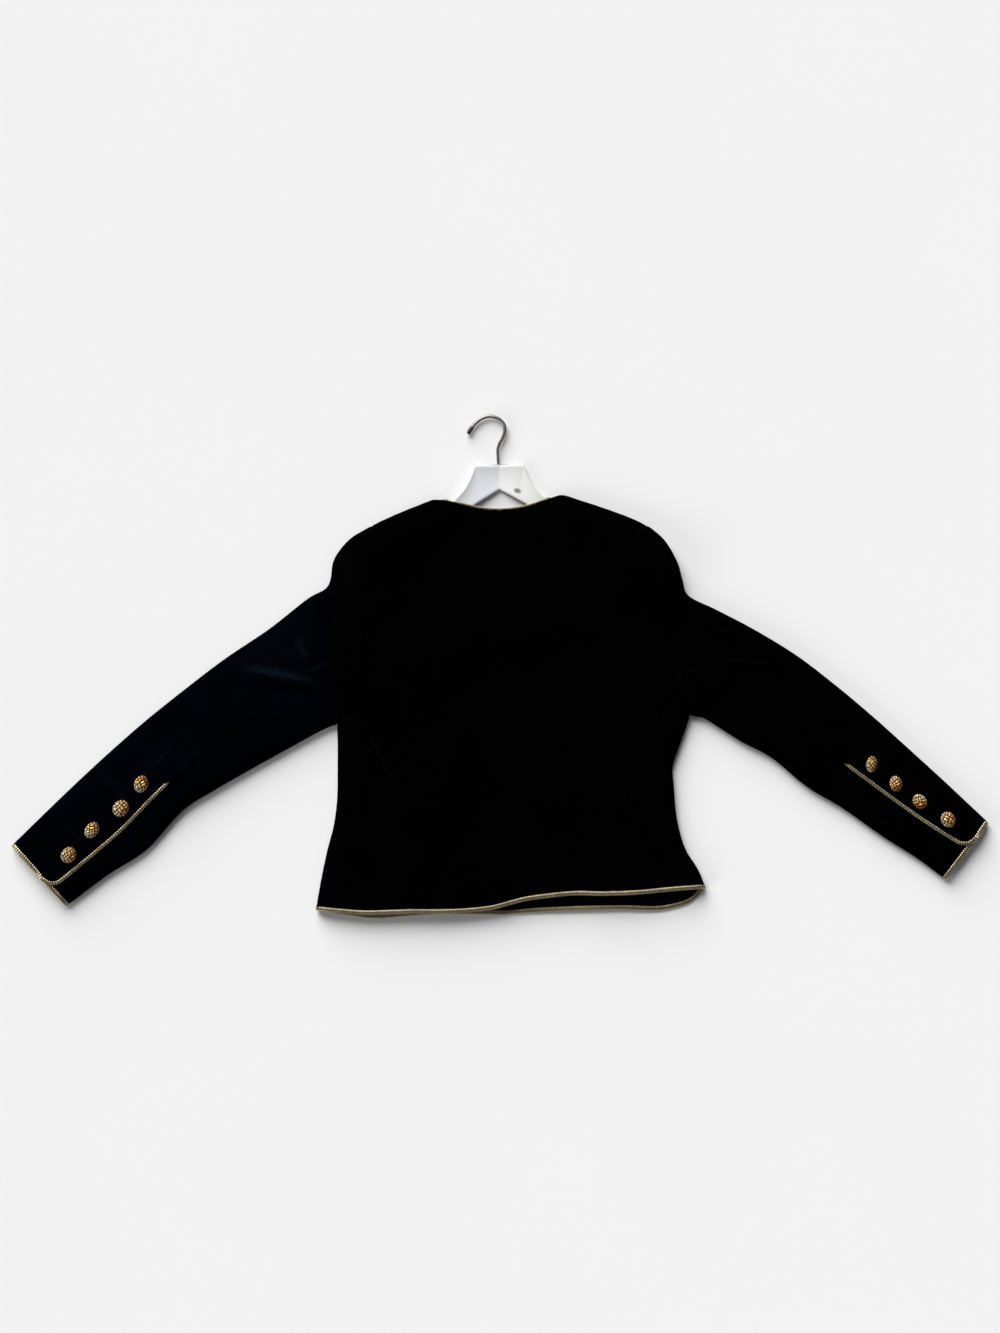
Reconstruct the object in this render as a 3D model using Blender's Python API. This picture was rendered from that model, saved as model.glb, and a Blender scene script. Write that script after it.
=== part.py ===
"""Short collarless jacket with braid-bound edges, laid on its front with its hanger in it.

Frame, in metres: +Z is up from the surface it lies on, +Y points from the hem to the neck, +X to the
wearer's right. The origin is on that surface, at the middle of the whole object. The tables hold
millimetres and are turned to metres where a mesh is made.
"""

import math
from collections import namedtuple

import bmesh
import bpy
import numpy as np
from mathutils import Matrix, Vector
from mathutils.bvhtree import BVHTree

MM = 0.001

# Cloth and seams
CLOTH = 2.5  # velvet with its inner layers, one wall
SEAM_GAP = 0.3
BRAID_RADIUS = 2.2
BRAID_FLOOR_GAP = 0.2
EDGE_INSET = 2 * BRAID_RADIUS + 2 * SEAM_GAP  # cloth ends this far inside the finished edge

# Layers: the upper one stands this high where it is level, and rolls over at the folds
LEVEL_HEIGHT = 15.0
MIDDLE_SHARE = 0.4  # height of a fold's edge, as a share of the cloth's height there
UPPER_ROLL = 1.8  # width of the upper roll over its height
LOWER_ROLL = 1.1
CROWN_DROP = 0.12  # the cloth is this share lower beside a fold than far from it
CROWN_REACH = 25.0

# Vent at each cuff: the top sleeve laps over the under sleeve
VENT_LIFT = CLOTH + 2 * SEAM_GAP
VENT_LAP = 14.0
VENT_RUN = 22.0  # length over which the lift grows, and after it the lap
VENT_TURN = 8.0  # the cloth draws in from the seam to the vent's braid over this length
VENT_CORNER = 6.5  # radius of the cloth's corner, inside the braid's
VENT_LEVEL = 18.0  # the lifted edge is level this far in, past the lap
VENT_SLOPE = 18.0

BUTTON_RADIUS = 10.3
BUTTON_RISE = 5.6
BUTTON_RIM = 2.2
SHANK_RADIUS = 3.2
SHANK_LENGTH = 1.8
BUTTON_SEGMENTS = 18

HANGER_THICK = 5.0
HANGER_FLOOR = 2 * BRAID_RADIUS + BRAID_FLOOR_GAP + SEAM_GAP
HANGER_EDGE = 1.5
HANGER_POINTS = 28  # along half its outline
HANGER_TURN = 1.4  # degrees
HOOK_RADIUS = 2.0
HOOK_POINTS = 24
HOOK_TIP_RADIUS = 2.7

Section = namedtuple("Section", "upper_x upper_y lower_x lower_y seam")
Mound = namedtuple("Mound", "x y reach_x reach_y rise")
Crease = namedtuple("Crease", "start_x start_y end_x end_y width rise")

# Plan of the body, seen from above with the back uppermost
LEFT_SIDE = (  # side fold, hem to underarm
    (-229.5, -306.5), (-223.0, -269.0), (-215.0, -231.0), (-207.0, -200.0),
    (-203.0, -169.0), (-202.2, -131.0), (-202.2, -92.0), (-202.5, -74.0),
)
RIGHT_SIDE = (
    (259.0, -278.8), (249.5, -256.0), (234.0, -231.0), (225.8, -206.0), (221.3, -181.0),
    (218.9, -150.0), (217.6, -128.0), (224.4, -106.0), (233.5, -81.0), (238.8, -62.5),
)
LEFT_SHOULDER = (  # shoulder fold, neck point to armhole
    (-72.5, 209.4), (-85.0, 206.0), (-98.8, 200.6), (-116.0, 193.8), (-145.0, 181.0), (-158.8, 173.8),
)
RIGHT_SHOULDER = (
    (66.0, 212.0), (79.5, 212.6), (101.0, 206.2), (137.5, 194.2), (170.0, 181.6), (185.0, 173.8),
)
BACK_NECK = (  # finished edge, left neck point to right
    (-72.5, 209.4), (-56.0, 205.8), (-38.8, 201.8), (-21.0, 198.0), (-2.5, 196.6),
    (16.0, 197.6), (36.0, 201.4), (52.0, 206.5), (66.0, 212.0),
)
LEFT_FRONT_NECK = (
    (-72.5, 209.4), (-62.0, 178.0), (-42.0, 148.5), (-21.0, 133.6), (-8.0, 130.3), (2.5, 130.0),
)
RIGHT_FRONT_NECK = (
    (66.0, 212.0), (59.5, 180.0), (44.5, 150.0), (26.0, 134.0), (13.0, 130.4), (2.5, 130.0),
)
BACK_HEM = (  # finished edge, left corner to right
    (-229.5, -306.5), (-198.0, -310.3), (-171.0, -313.2), (-142.0, -313.6), (-111.0, -313.2),
    (-61.0, -311.8), (-24.0, -308.4), (-5.0, -305.0), (13.0, -299.5), (31.0, -295.0),
    (57.0, -291.5), (95.0, -288.4), (132.5, -289.4), (176.0, -287.2), (214.0, -282.9), (259.0, -278.8),
)
FRONT_HEM = (
    (-229.5, -306.5), (-192.0, -312.8), (-155.0, -317.0), (-124.0, -315.0), (-98.0, -312.8),
    (-18.0, -312.0), (7.5, -312.4), (39.0, -309.8), (89.0, -307.4), (151.0, -305.9),
    (214.0, -304.8), (240.0, -296.8), (259.0, -278.8),
)
LEFT_BACK_SEAM = (  # side-back seam, hem to near the armhole
    (-111.0, -309.5), (-112.0, -260.0), (-117.0, -206.0), (-128.0, -162.0), (-145.0, -128.0), (-159.0, -96.0),
    (-171.0, -62.0),
)
RIGHT_BACK_SEAM = (
    (141.0, -287.0), (143.0, -250.0), (150.0, -206.0), (162.0, -162.0), (178.0, -128.0), (192.0, -96.0),
    (204.0, -62.0),
)
CENTRE_BACK = ((15.6, -297.0), (14.0, -150.0), (8.0, 20.0), (1.0, 192.5))
CENTRE_FRONT = ((15.6, -309.0), (10.0, -100.0), (2.5, 130.0))

# Sleeves: each section crosses the sleeve from its upper fold to its lower one. seam is where the back
# seam lies on the face that shows, from 0 at the lower fold to 1 at the upper one.
LEFT_SLEEVE = (
    Section(-158.8, 173.8, -202.5, -74.0, 0.380),
    Section(-186.5, 157.0, -203.2, -74.2, 0.380),
    Section(-206.0, 132.0, -204.2, -74.6, 0.380),
    Section(-210.5, 107.0, -205.8, -75.0, 0.378),
    Section(-217.5, 94.8, -208.2, -75.8, 0.375),
    Section(-240.0, 82.3, -212.0, -77.2, 0.372),
    Section(-287.5, 45.0, -224.0, -82.8, 0.367),
    Section(-343.8, 7.0, -264.0, -105.0, 0.360),
    Section(-393.0, -30.5, -311.0, -131.0, 0.350),
    Section(-440.5, -68.5, -357.0, -157.5, 0.335),
    Section(-483.0, -105.5, -396.2, -183.0, 0.305),
    Section(-524.3, -143.5, -441.0, -231.5, 0.308),
    Section(-563.0, -180.5, -489.5, -263.0, 0.264),
    Section(-609.6, -226.0, -541.0, -301.5, 0.258),
)
RIGHT_SLEEVE = (
    Section(185.0, 173.8, 238.8, -62.5, 0.380),
    Section(205.8, 157.0, 239.5, -62.7, 0.382),
    Section(222.6, 129.2, 240.6, -62.9, 0.384),
    Section(229.3, 106.3, 242.4, -63.2, 0.387),
    Section(237.0, 86.5, 245.0, -63.8, 0.390),
    Section(271.3, 69.3, 249.5, -65.0, 0.395),
    Section(318.8, 44.5, 261.0, -69.5, 0.403),
    Section(372.0, 12.0, 303.0, -96.0, 0.410),
    Section(420.8, -25.2, 340.5, -116.0, 0.415),
    Section(465.7, -62.9, 385.5, -152.8, 0.414),
    Section(508.7, -101.4, 430.0, -179.5, 0.404),
    Section(554.5, -143.1, 481.2, -215.6, 0.426),
    Section(585.7, -172.3, 522.2, -241.5, 0.452),
    Section(611.9, -196.9, 558.5, -268.5, 0.515),
)
CUFF = 13.0  # number of the last section
VENT_TOP = {"left": 9.6, "right": 9.25}  # section where the vent begins
BACK_ARMHOLE_BOW = 17.0  # the armhole seam curves this far in from a straight line
FRONT_ARMHOLE_BOW = 24.0

MOUNDS = (
    Mound(-176.0, 132.0, 54.0, 64.0, 18.0),  # shoulders
    Mound(200.0, 132.0, 54.0, 64.0, 18.0),
    Mound(-88.0, 192.0, 62.0, 45.0, 9.0),  # over the hanger's arms
    Mound(95.0, 194.0, 62.0, 45.0, 9.0),
    Mound(8.0, 70.0, 200.0, 110.0, 3.0),  # shoulder blades
    Mound(-110.0, -305.0, 130.0, 45.0, 3.0),  # hem
    Mound(150.0, -290.0, 90.0, 40.0, 5.0),
    Mound(-275.0, -12.0, 78.0, 62.0, 7.0),  # upper arms and forearms
    Mound(-400.0, -110.0, 90.0, 70.0, 4.0),
    Mound(300.0, -8.0, 78.0, 62.0, 7.0),
    Mound(420.0, -95.0, 90.0, 70.0, 4.0),
    Mound(-585.0, -260.0, 70.0, 60.0, 0.5),  # cuffs
    Mound(590.0, -225.0, 70.0, 60.0, -0.5),
)
CREASES = (
    Crease(-212.0, 94.0, -206.0, 30.0, 11.0, -8.0),  # under each shoulder
    Crease(236.0, 86.0, 223.0, 28.0, 11.0, -8.0),
    Crease(-330.0, 4.0, -222.0, -28.0, 9.0, 5.0),  # across the left sleeve
    Crease(-252.0, 34.0, -238.0, 0.0, 9.0, 3.0),
    Crease(218.0, 2.0, 308.0, -46.0, 12.0, 3.5),  # across the right sleeve
    Crease(268.0, 8.0, 372.0, -6.0, 8.0, 3.0),
    Crease(250.0, 52.0, 306.0, 30.0, 9.0, 2.5),
    Crease(-205.0, -58.0, -160.0, -86.0, 8.0, 3.0),  # underarm
    Crease(-160.0, -86.0, -126.0, -158.0, 9.0, 2.5),
    Crease(236.0, -58.0, 190.0, -92.0, 9.0, 2.5),
    Crease(-448.0, -148.0, -402.0, -86.0, 8.0, 2.5),  # above each vent
    Crease(-428.0, -190.0, -388.0, -150.0, 9.0, 3.0),
    Crease(450.0, -192.0, 512.0, -206.0, 8.0, 3.0),
    Crease(352.0, -118.0, 398.0, -128.0, 9.0, 2.5),
    Crease(-204.0, -196.0, -120.0, -190.0, 12.0, -2.0),  # waist
    Crease(222.0, -178.0, 150.0, -186.0, 12.0, -2.0),
)

# Where the rows and columns of the panels run
ARMHOLE_STEPS = (  # from the underarm to the shoulder, along the armhole
    0.0, 0.008, 0.035, 0.09, 0.17, 0.27, 0.38, 0.48, 0.61, 0.74, 0.86, 0.94, 0.985, 1.0,
)
SIDE_BACK_STEP = 4  # the side-back seam, the back sleeve seam and the front one meet the armhole here
BACK_SLEEVE_STEP = 6
FRONT_SLEEVE_STEP = 7
SIDE_STEPS = (0.0, 0.07, 0.20, 0.36, 0.52, 0.68, 0.84, 1.0)
SIDE_SHARE = 0.45  # share of a panel's rows that lie below the underarm
SHOULDER_COLUMNS = (0.0, 0.12, 0.24, 0.36, 0.48, 0.60)  # under the shoulder, and then under the neck
NECK_COLUMNS = (0.62, 0.68, 0.74, 0.80, 0.865, 0.93, 1.0)
FOLD_COLUMNS = (0.012, 0.045)
SHOULDER_END = 11.0  # the shoulder seam stops this far short of the neck point, where the braid crosses
NECK_POINT_IN = (1.5, -2.5)  # the braid's centre there, from the left neck point
SLEEVE_ROWS = (0.0, 1.0, 2.2, 3.2, 4.0, 4.8, 5.8, 6.8, 7.8)
CUFF_ROWS = (10.6, 11.4, 12.2)
CORNER_STEPS = (0.0, 0.45, 0.75, 0.93, 1.0)

# Each button's centre, its lean in degrees towards x and y, its long axis and the short one's share of it
BUTTONS = {
    "left": (
        (-535.9, -236.5, -8, 10, 48, 0.84), (-507.1, -205.8, 12, 6, 52, 0.82),
        (-471.2, -178.4, 0, 3, 46, 0.88), (-444.9, -148.1, 14, 8, 65, 0.85),
    ),
    "right": (
        (462.9, -122.9, 16, 0, 78, 0.78), (493.5, -148.0, 8, -6, 107, 0.85),
        (523.5, -170.9, -6, 8, 129, 0.84), (559.5, -192.6, -8, -6, 121, 0.88),
    ),
}

HANGER_OUTLINE = (  # right half, from the crown's middle round the arm and back under it
    (0.0, 250.6), (18.0, 250.6), (29.4, 250.5), (31.2, 248.4), (37.2, 233.0), (46.5, 218.6), (54.5, 210.6),
    (61.5, 203.8), (74.0, 196.6), (90.0, 188.8), (130.0, 171.0), (165.0, 153.0), (179.0, 143.0),
    (184.0, 133.0),
    (181.0, 124.0), (172.0, 120.5), (155.0, 127.5), (120.0, 146.0), (80.0, 168.5), (30.0, 202.0),
    (0.0, 219.6),
)
HOOK_ROUTE = (  # from the crown, round to the tip
    (-0.8, 251.2), (-1.4, 262.0), (-1.6, 269.5), (0.4, 276.5), (4.6, 284.5), (7.4, 293.0), (6.4, 300.5),
    (1.0, 307.0), (-6.5, 310.4), (-14.5, 310.8), (-22.0, 308.2), (-29.0, 302.8), (-35.0, 295.5),
    (-38.8, 288.5),
)


# ---- curves ----------------------------------------------------------------------------------------

def along(table, where, evenly=False):
    """A smooth curve through a table's rows, read at shares of its length, or at row numbers."""
    rows = np.asarray(table, float)
    if evenly:
        knots = np.arange(len(rows), dtype=float)
    else:
        steps = np.linalg.norm(np.diff(rows, axis=0), axis=1)
        knots = np.concatenate([[0.0], np.cumsum(steps)]) / steps.sum()
    slopes = np.gradient(rows, knots, axis=0)
    where = np.atleast_1d(np.asarray(where, float))
    start = np.clip(np.searchsorted(knots, where, side="right") - 1, 0, len(knots) - 2)
    span = (knots[start + 1] - knots[start])[:, None]
    t = (where - knots[start])[:, None] / span
    return (
        (2 * t**3 - 3 * t**2 + 1) * rows[start]
        + (t**3 - 2 * t**2 + t) * span * slopes[start]
        + (3 * t**2 - 2 * t**3) * rows[start + 1]
        + (t**3 - t**2) * span * slopes[start + 1]
    )


def share_at_x(table, x):
    """The share of a curve's length at which it passes x. The curve runs one way in x."""
    shares = np.linspace(0, 1, 400)
    xs = along(table, shares)[:, 0]
    return float(np.interp(x, xs, shares))


def side_names(side):
    """The tables of one side of the jacket."""
    if side == "left":
        return LEFT_SIDE, LEFT_SHOULDER, LEFT_FRONT_NECK, LEFT_BACK_SEAM
    return RIGHT_SIDE, RIGHT_SHOULDER, RIGHT_FRONT_NECK, RIGHT_BACK_SEAM


def sleeve_section(side, rows):
    """Upper fold, lower fold and seam share of a sleeve, at fractional section numbers."""
    table = LEFT_SLEEVE if side == "left" else RIGHT_SLEEVE
    read = along(table, rows, evenly=True)
    return read[:, 0:2], read[:, 2:4], read[:, 4]


def armhole(side, face, shares):
    """Points of the armhole seam, from the underarm (0) to the shoulder (1)."""
    shares = np.asarray(shares, float)
    upper, lower, _ = sleeve_section(side, [0.0])
    bow = BACK_ARMHOLE_BOW if face == "upper" else FRONT_ARMHOLE_BOW
    inward = 1.0 if side == "left" else -1.0
    curve = bow * inward * np.sin(math.pi * shares**0.8)
    straight = lower + shares[:, None] * (upper - lower)
    return straight + curve[:, None] * np.array([1.0, 0.0])


def fold_lines():
    """The folds all round the garment, as close polylines. Open edges are left out."""
    shares = np.linspace(0, 1, 90)
    rows = np.linspace(0, len(LEFT_SLEEVE) - 1, 260)
    lines = []
    for side in ("left", "right"):
        flank, shoulder = side_names(side)[:2]
        upper, lower, _ = sleeve_section(side, rows)
        lines.append(np.vstack([along(flank, shares), lower[1:]]))
        lines.append(np.vstack([along(shoulder, shares), upper[1:]]))
    return lines


FOLDS = fold_lines()


def from_folds(plan, folded):
    """Distance of each point to the nearest fold, and the direction away from it, into the garment.
    folded marks the points that lie on a fold."""
    flat = plan.reshape(-1, 2)
    is_folded = folded.reshape(-1)
    nearest = np.full(len(flat), np.inf)
    away = np.zeros_like(flat)
    middle = np.array([0.0, -60.0])
    for line in FOLDS:
        start, run = line[:-1], np.diff(line, axis=0)
        length = (run**2).sum(1)
        offset = flat[:, None, :] - start[None]
        t = np.clip((offset * run).sum(2) / length, 0, 1)
        gap = offset - t[:, :, None] * run
        distance = np.sqrt((gap**2).sum(2))
        pick = distance.argmin(1)
        each = np.arange(len(flat))
        normal = np.stack([-run[:, 1], run[:, 0]], 1) / np.sqrt(length)[:, None]
        padded = np.vstack([normal[:1], normal, normal[-1:]])
        normal = (padded[:-2] + padded[1:-1] + padded[2:]) / 3
        inside = np.sign(((middle - line[0]) * normal[0]).sum())
        found = distance[each, pick]
        step = gap[each, pick] / np.maximum(found, 1e-9)[:, None]
        step = np.where(is_folded[:, None], inside * normal[pick], step)
        better = found < nearest
        nearest = np.where(better, found, nearest)
        away = np.where(better[:, None], step, away)
    away /= np.linalg.norm(away, axis=1)[:, None]
    return nearest.reshape(plan.shape[:-1]), away.reshape(plan.shape)


# ---- the cloth's two layers ------------------------------------------------------------------------

def level_height(plan):
    """Height of the upper layer away from the folds: the level cloth and its mounds."""
    x, y = plan[..., 0], plan[..., 1]
    height = np.full(x.shape, LEVEL_HEIGHT)
    for m in MOUNDS:
        height = height + m.rise * np.exp(-(((x - m.x) / m.reach_x) ** 2) - ((y - m.y) / m.reach_y) ** 2)
    return height


def crease_height(plan):
    """Soft ridges and troughs along straight lines, tapering to both ends."""
    total = np.zeros(plan.shape[:-1])
    for c in CREASES:
        start = np.array([c.start_x, c.start_y])
        run = np.array([c.end_x, c.end_y]) - start
        offset = plan - start
        t = (offset * run).sum(-1) / (run**2).sum()
        across = np.abs(offset[..., 0] * run[1] - offset[..., 1] * run[0]) / np.linalg.norm(run)
        taper = np.clip(1 - (2 * t - 1) ** 2, 0, None) ** 1.2
        total += c.rise * taper * np.exp(-((across / c.width) ** 2))
    return total


def quarter_round(share):
    """Rises from 0 to 1 as a quarter circle while share goes from 0 to 1, then stays level."""
    return np.sqrt(1 - (1 - np.clip(share, 0, 1)) ** 2)


def layer_points(plan, folded, is_upper, part_gap=0.0, lift=0.0):
    """Outer and inner points of a layer over its plan. folded marks points on a fold, is_upper says which
    layer each point is in, part_gap keeps two layers apart at a seam on the fold, lift raises both sides."""
    distance, away = from_folds(plan, folded)
    distance = np.where(folded, 0.0, distance)
    level = level_height(plan)
    middle = MIDDLE_SHARE * level
    crowned = level * (1 - CROWN_DROP * np.exp(-distance / CROWN_REACH))
    rise = np.where(is_upper, crowned - middle, middle)
    roll = np.where(is_upper, UPPER_ROLL * (level - middle), LOWER_ROLL * middle)
    share = distance / roll
    up = quarter_round(share)
    creases = crease_height(plan) * up**2
    upper_z = middle + part_gap / 2 + rise * up + creases
    lower_z = (middle - part_gap / 2) * (1 - up)
    z = np.where(is_upper, upper_z, lower_z)
    outer = np.concatenate([plan, z[..., None]], axis=-1)

    step = 1.0
    slope = np.zeros(plan.shape)
    for axis in (0, 1):
        shift = np.zeros(2)
        shift[axis] = step
        ahead = level_height(plan + shift) + crease_height(plan + shift)
        behind = level_height(plan - shift) + crease_height(plan - shift)
        slope[..., axis] = (ahead - behind) / (2 * step) * up
    slope = np.where(is_upper[..., None], slope, 0.0)
    steep = (rise / roll * (1 - np.clip(share, 0, 1)))[..., None]
    upward = np.where(is_upper, 1.0, -1.0) * up
    normal = np.concatenate([-steep * away - slope * up[..., None], upward[..., None]], axis=-1)
    normal /= np.linalg.norm(normal, axis=-1)[..., None]
    inner = outer - CLOTH * normal
    raised = np.zeros(plan.shape[:-1]) + lift
    outer[..., 2] += raised
    inner[..., 2] += raised
    return outer, inner


def between(bottom, top, left, right, across, upward):
    """Plan points of a panel between its four edges, at the given shares across and up it."""
    left[0], left[-1], right[0], right[-1] = bottom[0], top[0], bottom[-1], top[-1]
    u = np.asarray(across)[None, :, None]
    v = np.asarray(upward)[:, None, None]
    ruled = (1 - v) * bottom[None] + v * top[None] + (1 - u) * left[:, None] + u * right[:, None]
    corners = (
        (1 - u) * (1 - v) * bottom[0] + u * (1 - v) * bottom[-1] + (1 - u) * v * top[0] + u * v * top[-1]
    )
    return ruled - corners


def inset(plan, bottom=0.0, top=0.0, left=0.0, right=0.0):
    """Draws a panel's edges in along its rows and columns, so that each line moves by a distance."""

    def pull(edge, inner, amount):
        step = inner - edge
        step /= np.linalg.norm(step, axis=1)[:, None]
        run = np.gradient(edge, axis=0)
        run /= np.linalg.norm(run, axis=1)[:, None]
        across = np.abs(step[:, 0] * run[:, 1] - step[:, 1] * run[:, 0])
        return edge + (amount / np.maximum(across, 0.6))[:, None] * step

    plan = plan.copy()
    sides = plan.copy()
    plan[:, 0] = pull(sides[:, 0], sides[:, 1], left)
    plan[:, -1] = pull(sides[:, -1], sides[:, -2], right)
    ends = plan.copy()
    plan[0] = pull(ends[0], ends[1], bottom)
    plan[-1] = pull(ends[-1], ends[-2], top)
    return plan


# ---- panels ----------------------------------------------------------------------------------------

HALF_GAP = SEAM_GAP / 2


def hem_part(table, x_from, x_to, shares):
    """Part of a hem's finished edge between two x places, at the given shares, outermost first."""
    first, last = share_at_x(table, x_from), share_at_x(table, x_to)
    return along(table, first + (last - first) * np.asarray(shares))


def side_back(side, drawn_in=EDGE_INSET):
    """The panel between the side fold and the side-back seam. drawn_in is how far its hem stops inside the
    finished edge."""
    flank, _, _, seam = side_names(side)
    steps = np.array(ARMHOLE_STEPS[: SIDE_BACK_STEP + 1])
    across = steps / steps[-1]
    upward = np.array(SIDE_STEPS)
    top = armhole(side, "upper", steps)
    left = along(flank, upward)
    right = along(np.vstack([seam, top[-1:]]), upward)
    bottom = hem_part(BACK_HEM, flank[0][0], seam[0][0], across)
    plan = between(bottom, top, left, right, across, upward)
    plan = inset(plan, bottom=drawn_in, top=HALF_GAP, right=HALF_GAP)
    folded = np.zeros(plan.shape[:2], bool)
    folded[:, 0] = True
    return layer_points(plan, folded, np.ones(plan.shape[:2], bool), part_gap=SEAM_GAP)


def moved_in(curve, distance, centre):
    """A curve drawn in by a distance along its plan normals, away from a centre."""
    run = np.gradient(curve, axis=0)
    normal = np.stack([-run[:, 1], run[:, 0]], 1) / np.linalg.norm(run, axis=1)[:, None]
    facing = np.sign(((curve - centre) * normal).sum(1))
    return curve + distance * facing[:, None] * normal


BACK_NECK_CENTRE = np.array([3.0, 1000.0])  # the back neck is nearly straight, the front neck a deep curve
FRONT_NECK_CENTRE = np.array([3.0, 190.0])


def neck_half(table, side, centre, shares, distance):
    """Half of a neck edge, neck point to centre, drawn in from its finished edge."""
    fine = np.linspace(0, 1, 200)
    if table is BACK_NECK:
        middle = share_at_x(table, CENTRE_BACK[-1][0])
        end = 0.0 if side == "left" else 1.0
        curve = along(table, end + (middle - end) * fine)
    else:
        curve = along(table, fine)
    moved = moved_in(curve, distance, centre)
    return np.stack([np.interp(shares, fine, moved[:, axis]) for axis in (0, 1)], 1)


def neck_shares(columns):
    """How far along the half neck each column meets the top edge."""
    share = SHOULDER_COLUMNS[-1]
    return np.clip((columns - share) / (1 - share), 0, 1)


def top_edge(shoulder, half_neck, columns):
    """Shoulder fold from the armhole to where the braid crosses it, then the neck edge to the centre."""
    share = SHOULDER_COLUMNS[-1]
    on_shoulder = columns <= share
    length = np.linalg.norm(np.diff(np.asarray(shoulder), axis=0), axis=1).sum()
    on_fold = along(shoulder, 1 - (1 - SHOULDER_END / length) * np.clip(columns / share, 0, 1))
    return np.where(on_shoulder[:, None], on_fold, half_neck), on_shoulder


def panel_rows(low, hole, steps):
    """Left edge of a panel: its seam or fold from the hem, then the armhole, and the rows' shares."""
    above = (steps[1:] - steps[0]) / (1 - steps[0])
    upward = np.concatenate([SIDE_SHARE * np.array(SIDE_STEPS), SIDE_SHARE + (1 - SIDE_SHARE) * above])
    return np.vstack([low, hole[1:]]), upward


def back(side, drawn_in=EDGE_INSET):
    """The panel between the side-back seam and the centre back."""
    _, shoulder, _, seam = side_names(side)
    columns = np.array(SHOULDER_COLUMNS + NECK_COLUMNS)
    steps = np.array(ARMHOLE_STEPS[SIDE_BACK_STEP:])
    hole = armhole(side, "upper", steps)
    left, upward = panel_rows(along(np.vstack([seam, hole[:1]]), SIDE_STEPS), hole, steps)
    half_neck = neck_half(BACK_NECK, side, BACK_NECK_CENTRE, neck_shares(columns), drawn_in)
    top, on_shoulder = top_edge(shoulder, half_neck, columns)
    bottom = hem_part(BACK_HEM, seam[0][0], CENTRE_BACK[0][0], columns)
    right = along(np.vstack([bottom[-1:], CENTRE_BACK[1:-1], top[-1:]]), upward)
    plan = between(bottom, top, left, right, columns, upward)
    plan = inset(plan, bottom=drawn_in, left=HALF_GAP, right=HALF_GAP)
    folded = np.zeros(plan.shape[:2], bool)
    folded[-1] = on_shoulder
    return layer_points(plan, folded, np.ones(plan.shape[:2], bool), part_gap=SEAM_GAP)


def front(side, drawn_in=EDGE_INSET):
    """The panel that lies underneath, from the side fold and armhole to the centre front."""
    flank, shoulder, neck, _ = side_names(side)
    columns = np.array(sorted(SHOULDER_COLUMNS + FOLD_COLUMNS + NECK_COLUMNS))
    steps = np.array(ARMHOLE_STEPS)
    hole = armhole(side, "lower", steps)
    left, upward = panel_rows(along(flank, SIDE_STEPS), hole, steps)
    half_neck = neck_half(neck, side, FRONT_NECK_CENTRE, neck_shares(columns), drawn_in)
    top, on_shoulder = top_edge(shoulder, half_neck, columns)
    bottom = hem_part(FRONT_HEM, flank[0][0], CENTRE_FRONT[0][0], columns)
    right = along(np.vstack([bottom[-1:], CENTRE_FRONT[1:-1], top[-1:]]), upward)
    plan = between(bottom, top, left, right, columns, upward)
    on_armhole = np.arange(len(upward)) >= len(SIDE_STEPS) - 1
    plan = inset(plan, bottom=drawn_in, left=np.where(on_armhole, HALF_GAP, 0.0), right=HALF_GAP)
    folded = np.zeros(plan.shape[:2], bool)
    folded[: len(SIDE_STEPS), 0] = True
    folded[-1] = on_shoulder
    return layer_points(plan, folded, np.zeros(plan.shape[:2], bool), part_gap=SEAM_GAP)


def sleeve_plan(side, face, rows, shares):
    """Plan points of one face of a sleeve. shares has one row of places across for each section."""
    upper, lower, _ = sleeve_section(side, rows)
    plan = lower[:, None] + shares[..., None] * (upper - lower)[:, None]
    first_upper, first_lower, _ = sleeve_section(side, [0.0])
    fade = np.clip(1 - rows / 7.0, 0, 1) ** 2
    straight = first_lower + shares[..., None] * (first_upper - first_lower)
    curved = np.stack([armhole(side, face, row) for row in shares])
    return plan + (curved - straight) * fade[:, None, None]


def eased(share):
    """Rises smoothly from 0 to 1 while share goes from 0 to 1."""
    share = np.clip(share, 0, 1)
    return share * share * (3 - 2 * share)


def sleeve_rows(side, drawn_in):
    """Section numbers of the sleeve's rows, how far each lies past the vent's top, and how far into the
    vent's corner, from 0 to 1. The last row stops drawn_in short of the finished cuff."""
    upper, lower, _ = sleeve_section(side, [CUFF - 0.5, CUFF])
    per_section = 2 * np.linalg.norm((upper[1] + lower[1] - upper[0] - lower[0]) / 2)
    end = CUFF - drawn_in / per_section
    corner_radius = VENT_CORNER + EDGE_INSET - drawn_in
    vent = VENT_TOP[side] + np.array([-2 * VENT_RUN, -VENT_RUN, -VENT_TURN, 0.0]) / per_section
    corner = end - corner_radius * (1 - np.array(CORNER_STEPS)) / per_section
    rows = np.concatenate([SLEEVE_ROWS, vent, CUFF_ROWS, corner])
    past_vent = (rows - VENT_TOP[side]) * per_section
    into_corner = np.clip(1 - (end - rows) * per_section / corner_radius, 0, 1)
    return rows, past_vent, corner_radius * (1 - np.sqrt(1 - into_corner**2))


def sleeve_piece(side, rows, shares, fold, order, lift):
    """Outer and inner points of a sleeve piece whose columns pass over a fold, from layer to layer."""
    faces = [sleeve_plan(side, face, rows, part) for face, part in zip(order, shares)]
    plan = inset(np.concatenate(faces, axis=1), bottom=HALF_GAP)
    is_upper = np.full(plan.shape[:2], order[0] == "upper")
    is_upper[:, faces[0].shape[1] :] = order[1] == "upper"
    folded = np.zeros(plan.shape[:2], bool)
    folded[:, fold] = True
    return layer_points(plan, folded, is_upper, lift=lift)


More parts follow.
